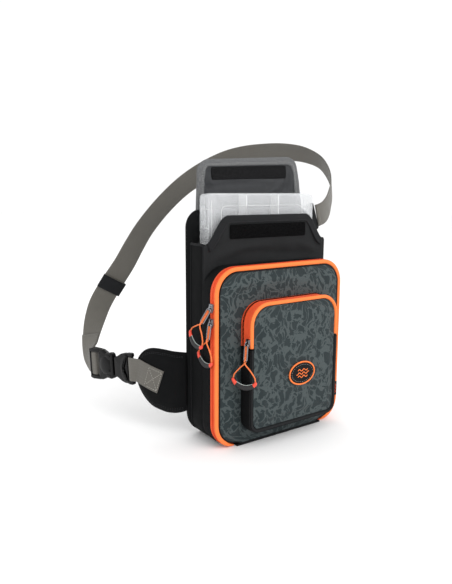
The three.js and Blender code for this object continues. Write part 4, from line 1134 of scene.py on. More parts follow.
def flap_slack(x, z):
    """The flap's waves and pressed creases."""
    s = sizes()
    folds = creases(x, z, [
        (-78, 34, -58, 26, 5, 1.6), (-66, 22, -38, 20, 4, -1.2), (70, 36, 64, 24, 5, 1.5),
        (40, 26, 30, 26, 4, -1.1),
        (30, 18, 52, 16, 4, 1.1), (-30, 40, 4, 60, 4, 1.0), (20, 44, -3, 60, 3.5, -0.8),
        (0, 62, 1, 80, 7, 0.8),
        (85, 52, 75, 22, 5, -1.2), (-88, 56, 82, 20, 5, -1.0),
    ])
    return folds * s.wrinkle * 1.6 + 0.8 * ripples(x, z, 21, 70.0)


def make_flap():
    """Flap: a creased sheet on its trapezium outline, a binding on three sides, a strip and stitches."""
    outline = resample(flap_outline(), 3.0)
    closed = np.vstack([outline, resample([[FLAP_ROOT, -3], [-FLAP_ROOT, -3]], 3.0)[1:-1]])
    half = FLAP_HALF

    def middle(x, z, d):
        return flap_slack(x, z) * soft_step(z, 2, 20) * 0.8

    sheet = slab_part(closed, lambda x, z, d: middle(x, z, d) - half * round_edge(d, half),
                      lambda x, z, d: middle(x, z, d) + half * round_edge(d, half), 3.0, 1.5)
    flap = add_piece("flap_cloth", [leaning(sheet)], "lining", stands_for=["lid_flap"])

    inner, outer = flap_outline(-11.0), flap_outline(TAPE_FOLD)
    inner, outer = spaced(inner, 130), spaced(outer, 130)
    tape = binding_part(inner, outer, -FLAP_TAPE_HALF, FLAP_TAPE_HALF)
    points = tape[0].copy()
    points[:, 1] += flap_slack(points[:, 0], points[:, 2]) * soft_step(points[:, 2], 2, 20) * 0.8
    tape = (points,) + tuple(tape[1:])
    binding = add_piece("flap_binding", [leaning(tape)], "flap tape", stands_for=["flap_tape"])

    stitches = []
    for share in (0.2, 0.34):
        line = inner + (outer - inner) * share
        lift = flap_slack(line[:, 0], line[:, 1]) * soft_step(line[:, 1], 2, 20) * 0.8
        path = flap_place(line[:, 0], lift - FLAP_TAPE_HALF, line[:, 1])
        stitches += stitch_parts(path, (0, -math.cos(FLAP_LEAN), math.sin(FLAP_LEAN)), 0.1)
    rows = add_piece("flap_stitches", stitches, "gray thread")

    strip_outline = resample(rounded_outline(-74, 74, 47.5, 68.5, 2, 2, 4), 2.0, True)

    def strip_front(x, z, d):
        return middle(x, z, d) - half - 0.3 - 1.6 * round_edge(d, 1.2) + 0.15 * ripples(x, z, 12, 20.0)

    strip = slab_part(strip_outline, strip_front, lambda x, z, d: middle(x, z, d) - half - 0.3, 2.4, 1.4)
    patch = add_piece("flap_strip", [leaning(strip)], "loop", stands_for=["loop_strip"])


# Tackle box


BOX_CORNER = 7
BOX_WALL = 1.4
LID_PANEL_HALF = 79
LID_PANEL_MARGIN = 18


def box_ring(x0, x1, z0, z1, radius, y0, y1, wall, lip=0.0):
    """Side wall of a shallow tray: a wall profile carried round a rounded rectangle."""
    outline = resample(rounded_outline(x0, x1, z0, z1, radius, radius, 8), 3.0, True)
    profile = [(0, y0), (lip, y0 + 0.3), (lip, y0 + 1.4), (0, y0 + 1.8), (0, y1), (-wall, y1), (-wall, y0)]
    return hoop_part(outline, profile)


def make_tackle_box():
    """Tackle box: plates and walls of clear plastic with a stepped lid panel, grooves near the top, a hinge
    rib and latches, and white dividers inside."""
    (x0, _, z0), (x1, back, z1) = span("box_tray")
    (_, front, _), (_, seam, _) = span("box_lid")
    outline = resample(rounded_outline(x0, x1, z0, z1, BOX_CORNER, BOX_CORNER, 8), 3.0, True)

    def face(y_front, y_back, relief):
        return slab_part(outline, lambda x, z, d: y_front + 0.5 * (1 - round_edge(d, 1.0)) + relief(x, z),
                         lambda x, z, d: y_back - 0.5 * (1 - round_edge(d, 1.0)) + relief(x, z), 2.6, 1.5,
                         heights=np.linspace(z1 - 30, z1 - 3, 40))

    def lid_relief(x, z):
        inside = np.minimum(LID_PANEL_HALF - np.abs(x), np.minimum(z - z0, z1 - z) - LID_PANEL_MARGIN)
        step = 0.9 * soft_step(inside, -0.6, 0.9)
        groove = np.where((np.abs(x) < 88) & (z > z1 - 17), 0.35 * np.sin(2 * math.pi * (z - z1) / 3.2), 0.0)
        return step + groove * soft_step(z, z1 - 17, z1 - 15.5) * (1 - soft_step(z, z1 - 4.5, z1 - 3.5))

    lid = face(front, front + 1.2, lid_relief)
    lid_wall = box_ring(x0, x1, z0, z1, BOX_CORNER, front + 0.7, seam - 0.1, BOX_WALL)
    add_piece("box_lid_shell", [lid, lid_wall], "clear", TACKLE_BOX, ["box_lid"],
        smooth=False)

    tray_back = face(back - 1.2, back, lambda x, z: 0 * x)
    tray_wall = box_ring(x0, x1, z0, z1, BOX_CORNER, seam + 0.3, back - 0.7, BOX_WALL, 0.9)
    add_piece("box_tray_shell", [tray_back, tray_wall], "clear", TACKLE_BOX, ["box_tray"],
        smooth=False)

    ribs = []
    for z in (z1 - 50, z1 - 22):
        ribs.append(rib_bar(x0 - 0.1, x0 + 1.4, front + 1, back - 1, z, 0.5))
        ribs.append(rib_bar(x1 - 1.4, x1 + 0.1, front + 1, back - 1, z, 0.5))
    for x in (x0 + 7, x1 - 7):
        path = np.array([[x, front + 1.6, z0 + 10], [x, front + 1.6, z1 - 10]])
        ribs.append(cord_part(resample(path, 20), 0.55, 8))
    low, high = z0 + LID_PANEL_MARGIN, z1 - LID_PANEL_MARGIN
    edge = rounded_outline(-LID_PANEL_HALF, LID_PANEL_HALF, low, high, BOX_CORNER, BOX_CORNER, 8)
    panel = resample(edge, 3.0, True)
    line = np.stack([panel[:, 0], np.full(len(panel), front + 0.5), panel[:, 1]], axis=1)
    ribs.append(cord_part(line, 0.45, 6, loop=True))
    add_piece("box_ribs", ribs, "clear rib", TACKLE_BOX)

    for name in [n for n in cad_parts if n.startswith(("box_long", "box_short"))]:
        (a0, b0, c0), (a1, b1, c1) = span(name)
        shape = [(a0, c0), (a1, c0), (a1, c1), (a0, c1)]
        block = box_plate(shape, b0, b1)
        add_piece(name.replace("box_", "divider_"), [block], "divider", TACKLE_BOX, [name],
            smooth=False)
    for side in ("left", "right"):
        (a0, b0, c0), (a1, b1, c1) = span(f"box_latch_{side}")
        outline_yz = resample(rounded_outline(b0, b1, c0, c1, 3, 3, 6), 1.5, True)
        swap = lambda y, x, z: np.stack([x, y, z], axis=-1)
        plate = plate_part(swap, outline_yz, a0, a1, 0.6)
        pull = resample(rounded_outline(b0 + 2, b1 - 2, c0 + 3, c0 + 12, 2, 2, 6), 1.5, True)
        out = (a0 - 1.0, a0 + 0.4) if side == "left" else (a1 - 0.4, a1 + 1.0)
        grip = plate_part(swap, pull, out[0], out[1], 0.5)
        add_piece(f"latch_{side}", [plate, grip], "clear", TACKLE_BOX, [f"box_latch_{side}"])


def rib_bar(x0, x1, y0, y1, z, half):
    """Small bar from y0 to y1."""
    shape = [(x0, z - half), (x1, z - half), (x1, z + half), (x0, z + half)]
    return box_plate(shape, y0, y1)


def box_plate(shape, y0, y1):
    """Straight bar between y0 and y1 of any small outline in X and Z."""
    ring = np.array(shape, float)
    near = np.stack([ring[:, 0], np.full(len(ring), y0), ring[:, 1]], axis=1)
    far = np.stack([ring[:, 0], np.full(len(ring), y1), ring[:, 1]], axis=1)
    return grid_part(np.stack([near, far]))


# Pockets


def roll_profile(outer, width, y_front, y_back, steps=10):
    """Profile of a soft roll: from its back on the outside, over its front as a half ellipse, to its inner
    edge and back along the inside."""
    turn = np.linspace(0, math.pi, steps)
    middle = outer - width / 2
    rise = y_back - y_front
    front = np.stack([middle + width / 2 * np.cos(turn), y_front + rise * 0.62 * (1 - np.sin(turn))], axis=1)
    back = np.array([(outer - width, y_back - 0.4), (outer - width + 1.0, y_back), (outer - 0.6, y_back)])
    return np.vstack([front, back])


def tapered(outer, y_back, reach):
    """Shift that draws a roll in to a point of its seam over the last stretch at both ends, by a quarter
    sine."""

    def shift(run, y, out):
        near = np.minimum(run, run.max() - run)
        full = np.sin(np.clip(near / reach, 0.04, 1) * math.pi / 2) ** 0.8
        return (outer - 2.0 - out) * (1 - full), (y_back - 0.5 - y) * (1 - full)

    return shift


def open_hoop(outline, keep):
    """The stretch of a closed outline for which keep holds, in order from one end to the other."""
    flags = keep(outline)
    first = np.flatnonzero(flags & ~np.roll(flags, 1))
    if len(first) == 0:
        return outline
    turned = np.roll(outline, -first[0], axis=0)
    return turned[: int(keep(turned).argmin())] if not keep(turned).all() else turned


def zip_coil(outline, y, out, pitch, closed):
    """Teeth of a closed zip: short round bars across the tape at an even pitch along the outline."""
    points = resample(outline, pitch, closed)
    run, normal = outline_frames(points, closed)
    base = points + normal * out
    half = 1.7
    turn = np.linspace(0, 2 * math.pi, 6, endpoint=False)
    share = np.array([-1, -0.7, 0.7, 1])
    size = np.array([0.45, 1, 1, 0.45]) * pitch * 0.36
    ring = run[:, None, None] * np.cos(turn)[None, None, :, None] + normal[:, None,
        None] * np.sin(turn)[None, None, :, None]
    flat = base[:, None, None] + ring * size[None, :, None, None]
    depth = np.broadcast_to((y + share * half)[None, :, None], flat.shape[:3])
    return [grid_part(tooth) for tooth in np.stack([flat[..., 0], depth, flat[..., 1]], axis=3)]


def make_front_pocket():
    """Front pocket: cloth band, zip tape with its coil, piping roll and a puffed printed panel."""
    s = sizes()
    (x0, y0, z0), (x1, y1, z1) = span("pocket_gusset")
    corner = 38
    whole = resample(rounded_outline(x0, x1, z0, z1, corner, corner, 16), 3.0, True)
    (_, p0, _), (_, p1, _) = span("pocket_piping")
    (_, t0, _), (_, t1, _) = span("pocket_zip_tape")
    end = x1 - corner

    def upper(outline):
        return ~((outline[:, 1] < z0 + 19) & (np.abs(outline[:, 0]) < end + 0.3))

    band_y0 = t1 + 0.3

    def bulge(run, y, out):
        share = np.clip((y - band_y0) / (y1 - band_y0), 0, 1)
        wave = 0.3 * ripples(np.broadcast_to(run, y.shape) * 0.7, y, 8, 50.0) * np.sin(math.pi * share)
        seam = -0.7 * np.exp(-((share - 0.97) / 0.08) ** 2)
        return np.sin(math.pi * share) * 0.9 + wave + seam, y * 0

    band = hoop_part(whole, wall_profile(band_y0, y1, CLOTH_WALL, 11), True, bulge)
    low = open_hoop(whole, lambda o: (o[:, 1] < z0 + 19) & (np.abs(o[:, 0]) < end))
    lip = hoop_part(low, wall_profile(y0, band_y0 - 0.05, CLOTH_WALL, 7), False)
    # The band takes the copy of the black cloth that is darkened as painted shade
    add_piece("pocket_band", [band, lip], "side black in painted shade", stands_for=["pocket_gusset"])

    arch = open_hoop(whole, upper)
    ridge = lambda run, y, out: (0.25 * np.cos(2 * math.pi * (y - t0) / (t1 - t0)) - 0.3 + 0 * out, 0 * y)
    tape = hoop_part(arch, wall_profile(t0, t1, 2.0, 13), False, ridge)
    add_piece("pocket_zip_cloth", [tape], "zip tape", stands_for=["pocket_zip_tape"])
    add_piece("pocket_zip_coil", zip_coil(arch, (t0 + t1) / 2, 0.1, s.tooth, False), "zip tape",
        weld=False)

    roll = hoop_part(arch, roll_profile(0.5, 6.6, p0 - 0.4, p1), False, tapered(0.5, p1, 26.0))
    add_piece("pocket_roll", [roll], "piping", stands_for=["pocket_piping"])
    hem = hoop_part(low, roll_profile(0.2, 2.2, y0 - 0.9, y0 - 0.1, 8), False)
    add_piece("pocket_hem", [hem], "edge tape")

    (a0, b0, c0), (a1, _, c1) = span("pocket_front")
    panel = resample(rounded_outline(a0, a1, c0, c1, corner - 6.8, corner - 6.8, 14), 3.0, True)
    foot = (panel[:, 1] < c0 + 0.5) & (np.abs(panel[:, 0]) < end + 1)
    panel[:, 1] -= np.where(foot, 4.6 * (1 - soft_step(np.abs(panel[:, 0]), end - 9, end + 1)), 0)
    base = b0 + 2.9

    def surface(x, z, d):
        puff = s.pocket_puff * soft_step(d, 0, 22)
        folds = creases(x, z, [
            (-96, 60, 86, 40, 6, 0.8), (-98, 150, 92, 50, 5, -0.7), (-88, 30, 40, 20, 5, 0.9),
            (0, 14, 2, 60, 4, -0.8),
            (40, 16, -5, 30, 4, 0.7), (-40, 244, 4, 60, 6, 0.7), (60, 246, -8, 40, 6, -0.7),
            (104, 120, 90, 60, 5, 0.7),
            (-60, 238, 24, 24, 5, -0.8), (96, 236, -50, 20, 6, 0.8),
        ])
        wave = 0.35 * ripples(x, z, 2, 60.0)
        pocket = (soft_step(x, -80, -74) - soft_step(x, 84, 90)) * (soft_step(z, 26, 32)
            - soft_step(z, 212, 218))
        quiet = 1 - pocket
        level = base - puff - (folds * s.wrinkle + wave) * soft_step(d, 2, 12) * quiet
        return np.where(pocket > 0, np.maximum(level, b0 + 0.15), level)

    sheet = slab_part(panel, surface, lambda x, z, d: surface(x, z, d) + 1.5 * round_edge(d, 1.5), 3.2, 3.0)
    piece = add_piece("pocket_panel", [sheet], "print", stands_for=["pocket_front"])

    trim = resample(panel + unit(panel.mean(axis=0) - panel) * 0.6, 2.5, True)
    line = np.stack([trim[:, 0], np.full(len(trim), base - 0.3), trim[:, 1]], axis=1)
    add_piece("pocket_panel_seam", [cord_part(line, 0.75, 8, loop=True)], "edge tape")


def make_small_pocket():
    """Small pocket: lower cloth band, zip tape with its coil, piping roll and a puffed printed panel."""
    s = sizes()
    (x0, y0, z0), (x1, y1, _) = span("small_pocket_gusset")
    (_, p0, _), (_, p1, z1) = span("small_pocket_piping")
    (_, t0, split), (_, t1, _) = span("small_pocket_zip_tape")
    low_radius, high_radius = 16, 32
    whole = resample(rounded_outline(x0, x1, z0, z1, low_radius, high_radius, 14), 2.6, True)

    def bulge(run, y, out):
        share = np.clip((y - y0) / (y1 - y0), 0, 1)
        wave = 0.5 * ripples(np.broadcast_to(run, y.shape), y, 14, 36.0)
        return (1.1 + wave) * np.sin(math.pi * share) - 0.8 * np.exp(-((share - 0.98) / 0.08) ** 2), y * 0

    lower = open_hoop(whole, lambda o: o[:, 1] < split - 0.2)
    band = hoop_part(lower, wall_profile(y0, y1, CLOTH_WALL, 13), False, bulge)
    # The band takes the copy of the black cloth that is darkened as painted shade
    add_piece("small_pocket_band", [band], "side black in painted shade", stands_for=["small_pocket_gusset"])

    upper = open_hoop(whole, lambda o: o[:, 1] > split)
    middle = (t0 + t1) / 2
    ridge = lambda run, y, out: (-0.5 + 0.4 * np.cos(2 * math.pi * (y - t0) / (t1 - t0)) + 0 * out, 0 * y)
    tape = hoop_part(upper, wall_profile(t0, t1, 2.0, 13), False, ridge)
    add_piece("small_pocket_zip_cloth", [tape], "zip tape",
        stands_for=["small_pocket_zip_tape"])
    add_piece("small_pocket_zip_coil", zip_coil(upper, middle + 0.28 * (t1 - t0), -0.2, s.tooth, False),
        "strip", weld=False)

    roll = hoop_part(upper, roll_profile(0.5, 5.6, p0 - 0.4, p1), False)
    add_piece("small_pocket_roll", [roll], "piping", stands_for=["small_pocket_piping"])
    low_roll = hoop_part(lower, roll_profile(0.5, 5.6, p0 - 0.4, p1 - 0.1), False)
    add_piece("small_pocket_hem", [low_roll], "edge tape")

    (a0, b0, c0), (a1, _, c1) = span("small_pocket_front")
    panel = rounded_outline(a0, a1, c0, c1, low_radius - 5.8, high_radius - 5.8, 12)
    panel = resample(panel, 2.6, True)
    base = b0 + 4.2

    def surface(x, z, d):
        puff = s.small_puff * soft_step(d, 0, 18)
        folds = creases(x, z, [
            (-60, 60, 84, 34, 6, 1.1), (-62, 120, 96, 30, 5, -0.8), (-48, 44, 48, 18, 5, 1.1),
            (20, 40, 3, 50, 5, -1.0),
            (66, 48, -40, 20, 5, 1.0), (74, 110, 88, 40, 5, 0.8), (-20, 198, 6, 44, 6, -0.8),
            (40, 200, -8, 36, 6, 0.8),
            (-40, 176, 30, 26, 6, 0.7), (0, 70, 14, 30, 6, 0.6), (50, 160, 70, 30, 7, -0.7),
        ])
        return base - puff - (folds * s.wrinkle + 0.4 * ripples(x, z, 31, 46.0)) * soft_step(d, 2, 12)

    sheet = slab_part(panel, surface, lambda x, z, d: surface(x, z, d) + 1.5 * round_edge(d, 1.5), 2.8, 3.0)
    piece = add_piece("small_pocket_panel", [sheet], "print",
        stands_for=["small_pocket_front"])

    (g0, h0, k0), (g1, h1, k1) = span("side_tag")
    tag_outline = resample(rounded_outline(g0, g1, k0, k1, 0.8, 0.8, 4), 1.0, True)
    mid = (h0 + h1) / 2
    bow = lambda x: 1.2 * ((x - g0) / (g1 - g0)) ** 2
    tag = slab_part(tag_outline, lambda x, z, d: mid - 0.6 * round_edge(d, 0.6) + bow(x),
                    lambda x, z, d: mid + 0.6 * round_edge(d, 0.6) + bow(x), 1.2, 0.8)
    add_piece("side_tag_cloth", [tag], "badge", stands_for=["side_tag"])
    z = np.linspace(k0 + 3, k1 - 3, 60)
    zigzag = (g0 + g1) / 2 + 2.0 * (2 / math.pi) * np.arcsin(np.sin(2 * math.pi * (z - k0) / 5.0))
    thread = np.stack([zigzag, mid - 0.65 + bow(zigzag), z], axis=1)
    add_piece("side_tag_thread", [cord_part(thread, 0.45, 6)], "zip tape")


def make_badge():
    """Badge: a domed oval patch in an overlocked orange rim, with a sewn ring and three raised sine waves
    on it."""
    (x0, y0, z0), (x1, y1, z1) = span("badge_rim")
    cx, cz, rx, rz = (x0 + x1) / 2, (z0 + z1) / 2, (x1 - x0) / 2, (z1 - z0) / 2
    turn = np.linspace(0, 2 * math.pi, 120, endpoint=False)

    def oval(inset, y):
        return np.stack([cx + (rx - inset) * np.cos(turn), np.full(120, y),
            cz + (rz - inset) * np.sin(turn)], axis=1)

    front, back = y0 - 0.2, y1
    rim = [cord_part(oval(1.3, (front + back) / 2), 1.25 + 0.12 * np.cos(turn * 90), 10, loop=True)]
    add_piece("badge_edge", rim, "piping", stands_for=["badge_rim"])
    rings = np.array([oval(i, y) for i,
        y in ((2.9, back), (2.7, front + 0.6), (3.2, front), (8, front - 0.25), (14, front - 0.4))])
    add_piece("badge_patch", [grid_part(rings)], "badge", stands_for=["badge"])
    threads = stitch_parts(np.vstack([oval(5.2, front - 0.1), oval(5.2, front - 0.1)[:1]]), (0, -1, 0), 0.05)
    add_piece("badge_ring", threads, "gray thread", weld=False)
    waves = []
    for k, wide in ((-1, 9.5), (0, 12.5), (1, 9.5)):
        x = np.linspace(-wide, wide, 40)
        path = np.stack([cx + x, np.full(40, front - 0.5),
            cz + k * 5.0 + 1.5 * np.sin(2 * math.pi * x / 9.0)], axis=1)
        waves.append(cord_part(path, 0.65, 8))
    add_piece("badge_waves", waves, "piping")


# Zip pulls

SEAM_GAP = 0.4
SLIDER_THICKNESS = 2.6
PULL_CLEARANCE = 0.35
LOOP_CLEARANCE = 0.8
WIRE_RADIUS = 0.85
CORD_RADIUS = 1.0
RING_LENGTH = 26.0
RING_WIDTH = 9.0
PULL_LENGTH = 27.0
PULL_SPREAD = 17.0
GRIP_SAG = 8.0
CORD_PASS = WIRE_RADIUS + CORD_RADIUS + LOOP_CLEARANCE
PULLS = [
    {"ring_swing": 26, "loop_swing": 29, "standoff": 7, "turn": 0},
    {"ring_swing": 8, "loop_swing": 15, "standoff": 1, "turn": 0},
    {"ring_swing": -10, "loop_swing": 4, "standoff": 5, "turn": 30},
]
# Shares of the pull's spread across, its length down and the cord's pass out
CORD_ROWS = [
    (-1, 1, 0), (-0.95, 0.82, 0.1), (-0.52, 0.42, 0.5), (-0.2, 0.16, 1.1), (-0.07, 0, 1.1),
    (0, -CORD_PASS / PULL_LENGTH, 0),
    (0.07, 0, -1.1), (0.2, 0.16, -1.1), (0.52, 0.42, -0.5), (0.95, 0.82, -0.1), (1, 1, 0),
]
# Shares of the pull's spread across and the grip's sag down
GRIP_ROWS = [(-1.01, 0), (-1.02, 0.25), (-0.65, 0.85), (0, 1.2), (0.65, 0.85), (1.02, 0.25), (1.01, 0)]


def pull_routes(slider, ring_swing, loop_swing, standoff, turn):
    """Points of a pull's ring, cord and grip. The ring is two half circles with straight wires between
    them, swung from the slider. Cord and grip hang from its lower end, in a plane that is turned by its own
    angles."""
    (_, y0, z0), (x1, y1, z1) = span(slider)
    root = np.array([x1 + SEAM_GAP, (y0 + y1) / 2, (z0 + z1) / 2])
    crown = SLIDER_THICKNESS + SEAM_GAP + PULL_CLEARANCE + WIRE_RADIUS
    half, straight = RING_WIDTH / 2 - WIRE_RADIUS, RING_LENGTH - RING_WIDTH
    drop = straight + 2 * half
    swing, hang, spin = np.radians([ring_swing, loop_swing, turn])
    end = np.repeat([0, 1], 6)
    angle = math.pi * (end + np.tile(np.arange(6) / 5, 2))
    across = half * np.cos(angle)
    down = half + end * straight - half * np.sin(angle)
    ring = root + np.stack([
        -crown - standoff * down / drop,
        across * math.cos(swing) + down * math.sin(swing),
        across * math.sin(swing) - down * math.cos(swing),
    ], axis=1)

    def hung(across, down, out):
        back = across * math.cos(spin)
        return root + np.stack([
            -crown - standoff - out - across * math.sin(spin),
            drop * math.sin(swing) + back * math.cos(hang) + down * math.sin(hang),
            back * math.sin(hang) - drop * math.cos(swing) - down * math.cos(hang),
        ], axis=1)

    rows = np.array(CORD_ROWS) * [PULL_SPREAD, PULL_LENGTH, CORD_PASS]
    cord = hung(rows[:, 0], rows[:, 1], rows[:, 2])
    rows = np.array(GRIP_ROWS) * [PULL_SPREAD, GRIP_SAG]
    grip = hung(rows[:, 0], PULL_LENGTH + LOOP_CLEARANCE + rows[:, 1], 0 * rows[:, 0])
    return ring, cord, grip


def slider_parts(node):
    """Zip slider on a side that faces -X: a tapered plate with rounded rims and a bridge, an arch swept by
    a flat oval."""
    (_, y0, z0), (x1, y1, z1) = span(node)
    cy, cz = (y0 + y1) / 2, (z0 + z1) / 2
    half_w, half_h = (y1 - y0) / 2, (z1 - z0) / 2
    right = [(0.4, -1), (0.62, -0.75), (1, -0.2), (1, 1)]
    shape = np.array([(-a, b) for a, b in right[::-1]] + right) * [half_w, half_h]
    outline = resample(shape, 0.8, True)
    place = lambda y, out, z: np.stack([x1 - out, cy + y, cz + z], axis=-1)
    lower = plate_part(place, outline, 0.0, 0.9, 0.35)
    upper = plate_part(place, outline * 0.94, 1.25, 2.6, 0.5)
    post = plate_part(place, outline * 0.45, 0.5, 1.6, 0.1)
    turn = np.linspace(0.12, math.pi - 0.12, 20)
    path = np.stack([x1 - 2.1 - 4.0 * np.sin(turn), np.full(20, cy), cz + 3.4 * np.cos(turn)], axis=1)
    bridge = cord_part(path, 0.62, 10)
    return [lower, upper, post, bridge]


def doubled_strand(ring, apex):
    """The cord's doubled run inside a wire ring: up one side of the ring's long axis, a half circle near
    its top and down the other side. The axes are the ring's principal directions."""
    middle = ring.mean(axis=0)
    _, _, axes = np.linalg.svd(ring - middle)
    long, wide = axes[0], axes[1]
    if (apex - middle) @ long > 0:
        long = -long
    top = middle + long * (((ring - middle) @ long).max() - 5.0)
    turn = np.linspace(0, math.pi, 9)
    bend = top + wide * 1.15 * np.cos(turn)[:, None] + long * 1.15 * np.sin(turn)[:, None]
    foot = apex - long * 1.5
    knee = foot + (top - foot) * 0.4
    path = np.vstack([foot + wide * 0.9, knee + wide * 1.15, bend, knee - wide * 1.15, foot - wide * 0.9])
    return smooth_path(path, 0.8)


def grip_parts(path):
    """Crescent grip: ellipses square to the path, widest in the crescent's own plane and swelling by a
    sine, and the light bead along its inner edge, a painted highlight."""
    tangent = unit(np.gradient(path, axis=0))
    normal = unit(np.cross(tangent[:-1], tangent[1:]).sum(axis=0))
    side = unit(np.cross(normal, tangent))
    half = len(path) // 2
    if side[half] @ (path[half] - (path[0] + path[-1]) / 2) < 0:
        side = -side
    share = np.linspace(0, 1, len(path))
    swell = np.sin(math.pi * share) ** 0.8
    wide, deep = 1.7 + 2.3 * swell, 1.6 + 1.0 * swell
    middle = path + side * (wide - 2.0)[:, None]
    angle = np.linspace(0, 2 * math.pi, 14, endpoint=False)
    ring = side[:, None] * (wide[:, None] * np.cos(angle))[...,
        None] + normal * (deep[:, None] * np.sin(angle))[..., None]
    # bead: light cord along the inner edge, a painted highlight
    bead = (middle - side * (wide - 0.1)[:, None])[int(len(path) * 0.18): int(len(path) * 0.82)]
    return grid_part(middle[:, None] + ring), cord_part(bead, 0.55, 8)


def make_zip_pulls():
    """Sliders, wire rings, braided loops and crescent grips along their routes."""
    for number, pull in enumerate(PULLS, 1):
        slider = f"zip_slider_{number}"
        wire, cord, grip = pull_routes(slider, **pull)
        add_piece(f"slider_{number}", slider_parts(slider), "metal", stands_for=[slider])
        ring = smooth_path(np.vstack([wire, wire[:1]]), 0.9)[:-1]
        add_piece(f"ring_{number}", [cord_part(ring, WIRE_RADIUS, 12, loop=True)], "metal",
                  stands_for=[f"pull_ring_{number}"])
        path = resample(centripetal(cord, 12), 0.8)
        doubled = doubled_strand(wire, cord[len(cord) // 2])
        strands = [cord_part(path, CORD_RADIUS, 10), cord_part(doubled, CORD_RADIUS - 0.05, 10)]
        add_piece(f"loop_{number}", strands, "cord", stands_for=[f"pull_cord_{number}"])
        grip = resample(centripetal(grip, 12), 0.9)
        crescent, line = grip_parts(grip)
        run = np.linalg.norm(np.diff(grip, axis=0), axis=1).sum()
        c = colours()
        key = f"grip {number}"
        made_materials[key] = grip_rubber(f"grip_rubber_{number}", c.grip, c.grip_tip, run)
        add_piece(f"grip_{number}", [crescent], key, stands_for=[f"pull_grip_{number}"])
        # The light bead on each grip is a painted highlight
        add_piece(f"grip_painted_highlight_{number}", [line], "grip painted highlight")


# Hip wing, buckle and webbing

WING_ROOT = np.array([-122.8, 36.15])
WING_REACH = np.array([50.0, 70.0])
WING_HEIGHTS = [
    (0.0, 0.0, 0.95, 0.75), (0.12, -0.03, 0.96, 0.95), (0.25, -0.04, 0.97, 1.0), (0.38, -0.03, 0.99, 1.0),
    (0.5, 0.0, 1.0, 1.0),
    (0.63, 0.03, 1.0, 1.0), (0.75, 0.1, 0.97, 0.95), (0.86, 0.2, 0.9, 0.85), (0.94, 0.32, 0.8, 0.7),
    (0.98, 0.42, 0.7, 0.5),
]
BUCKLE_ORIGIN = np.array([-180.6, 115.3, 97.3])
BUCKLE_YAW = math.radians(108.5)
BUCKLE_PITCH = math.radians(-3.5)
BUCKLE_LEVEL = np.array([math.cos(BUCKLE_YAW), math.sin(BUCKLE_YAW), 0.0])
BUCKLE_ALONG = BUCKLE_LEVEL * math.cos(BUCKLE_PITCH) + [0, 0, math.sin(BUCKLE_PITCH)]
BUCKLE_OUT = np.array([-math.sin(BUCKLE_YAW), math.cos(BUCKLE_YAW), 0.0])
BUCKLE_UP = np.cross(BUCKLE_ALONG, BUCKLE_OUT)
BUCKLE_LENGTH = 76.0
BAR_WIDTH = 4.5
WRAP_RADIUS = 3.3


WING_LOW = 39
WING_HEIGHT = 98
WING_LENGTH = 95
WING_HALF = 4.5


def wing_frame(share):
    """Point and outward direction of the wing's middle surface: a quadratic curve in plan and its
    normal."""
    share = np.asarray(share, float)[..., None]
    a, c = WING_ROOT, WING_ROOT + WING_REACH * [-1, 1]
    b = WING_ROOT + WING_REACH * [-0.74, 0.29]
    point = (1 - share) ** 2 * a + 2 * share * (1 - share) * b + share**2 * c
    along = unit(2 * (1 - share) * (b - a) + 2 * share * (c - b))
    return point, np.stack([-along[..., 1], along[..., 0]], axis=-1)


def wing_rows(share):
    """Lower edge, upper edge and thickness share of the wing, read between its rows."""
    table = np.array(WING_HEIGHTS)
    return [np.interp(share, table[:, 0], table[:, k]) for k in (1, 2, 3)]


def make_hip_wing():
    """Padded wing: lens-shaped sections carried along its plan curve, nipped in at a stitch line inside its
    rim."""
    s = sizes()
    share = np.concatenate([np.linspace(0, 0.9, 34), [0.925, 0.945, 0.96, 0.972, 0.98]])
    low, high, thick = wing_rows(share)
    kernel = np.array([0.25, 0.5, 0.25])
    for _ in range(3):
        low[1:-1] = np.convolve(low, kernel, "valid")
        high[1:-1] = np.convolve(high, kernel, "valid")
    z0, z1 = WING_LOW + low * WING_HEIGHT, WING_LOW + high * WING_HEIGHT
    point, out = wing_frame(share)
    lift = np.linspace(0, 1, 25)
    rings = []
    for k in range(len(share)):
        z = z0[k] + (z1[k] - z0[k]) * lift
        d = np.minimum(z - z0[k], z1[k] - z)
        end = np.minimum((0.985 - share[k]) * WING_LENGTH + 1.2, 99)
        d = np.minimum(d, end)
        half = WING_HALF * (0.36 * round_edge(d, 2.0) + 0.64 * soft_step(d, 2.5, 14)) * thick[k]
        half = half - 0.5 * np.exp(-((d - 6) / 1.6) ** 2)
        swell = s.wing_puff * soft_step(d, 6, 22) * np.sin(math.pi * np.clip(share[k] / 0.9, 0, 1)) ** 0.5
        wave = 0.35 * ripples(np.full_like(z, share[k] * WING_LENGTH), z, 41, 34.0) * soft_step(d, 4, 12)
        outer = np.maximum(half, 0.25) + 0.35 * swell + wave
        inner = -np.maximum(half, 0.25) - 0.65 * swell - wave
        side = np.concatenate([outer, inner[::-1]])
        zz = np.concatenate([z, z[::-1]])
        xy = point[k] + out[k] * side[:, None]
        xy[:, 0] = np.minimum(xy[:, 0], WING_ROOT[0])
        rings.append(np.column_stack([xy, zz]))
    piece = add_piece("wing_pad", [grid_part(np.array(rings))], "pad cloth",
        stands_for=["hip_wing"])

    lines = []
    for inset in (6.0, 8.2):
        top = np.column_stack([point + out * 3.1, z1 - inset])[2:-6]
        bottom = np.column_stack([point + out * 3.1, z0 + inset])[2:-6]
        for line in (top, bottom):
            lines += stitch_parts(line, np.column_stack([out, np.zeros(len(out))])[2:-6], -0.1)
    add_piece("wing_stitches", lines, "black thread", weld=False)


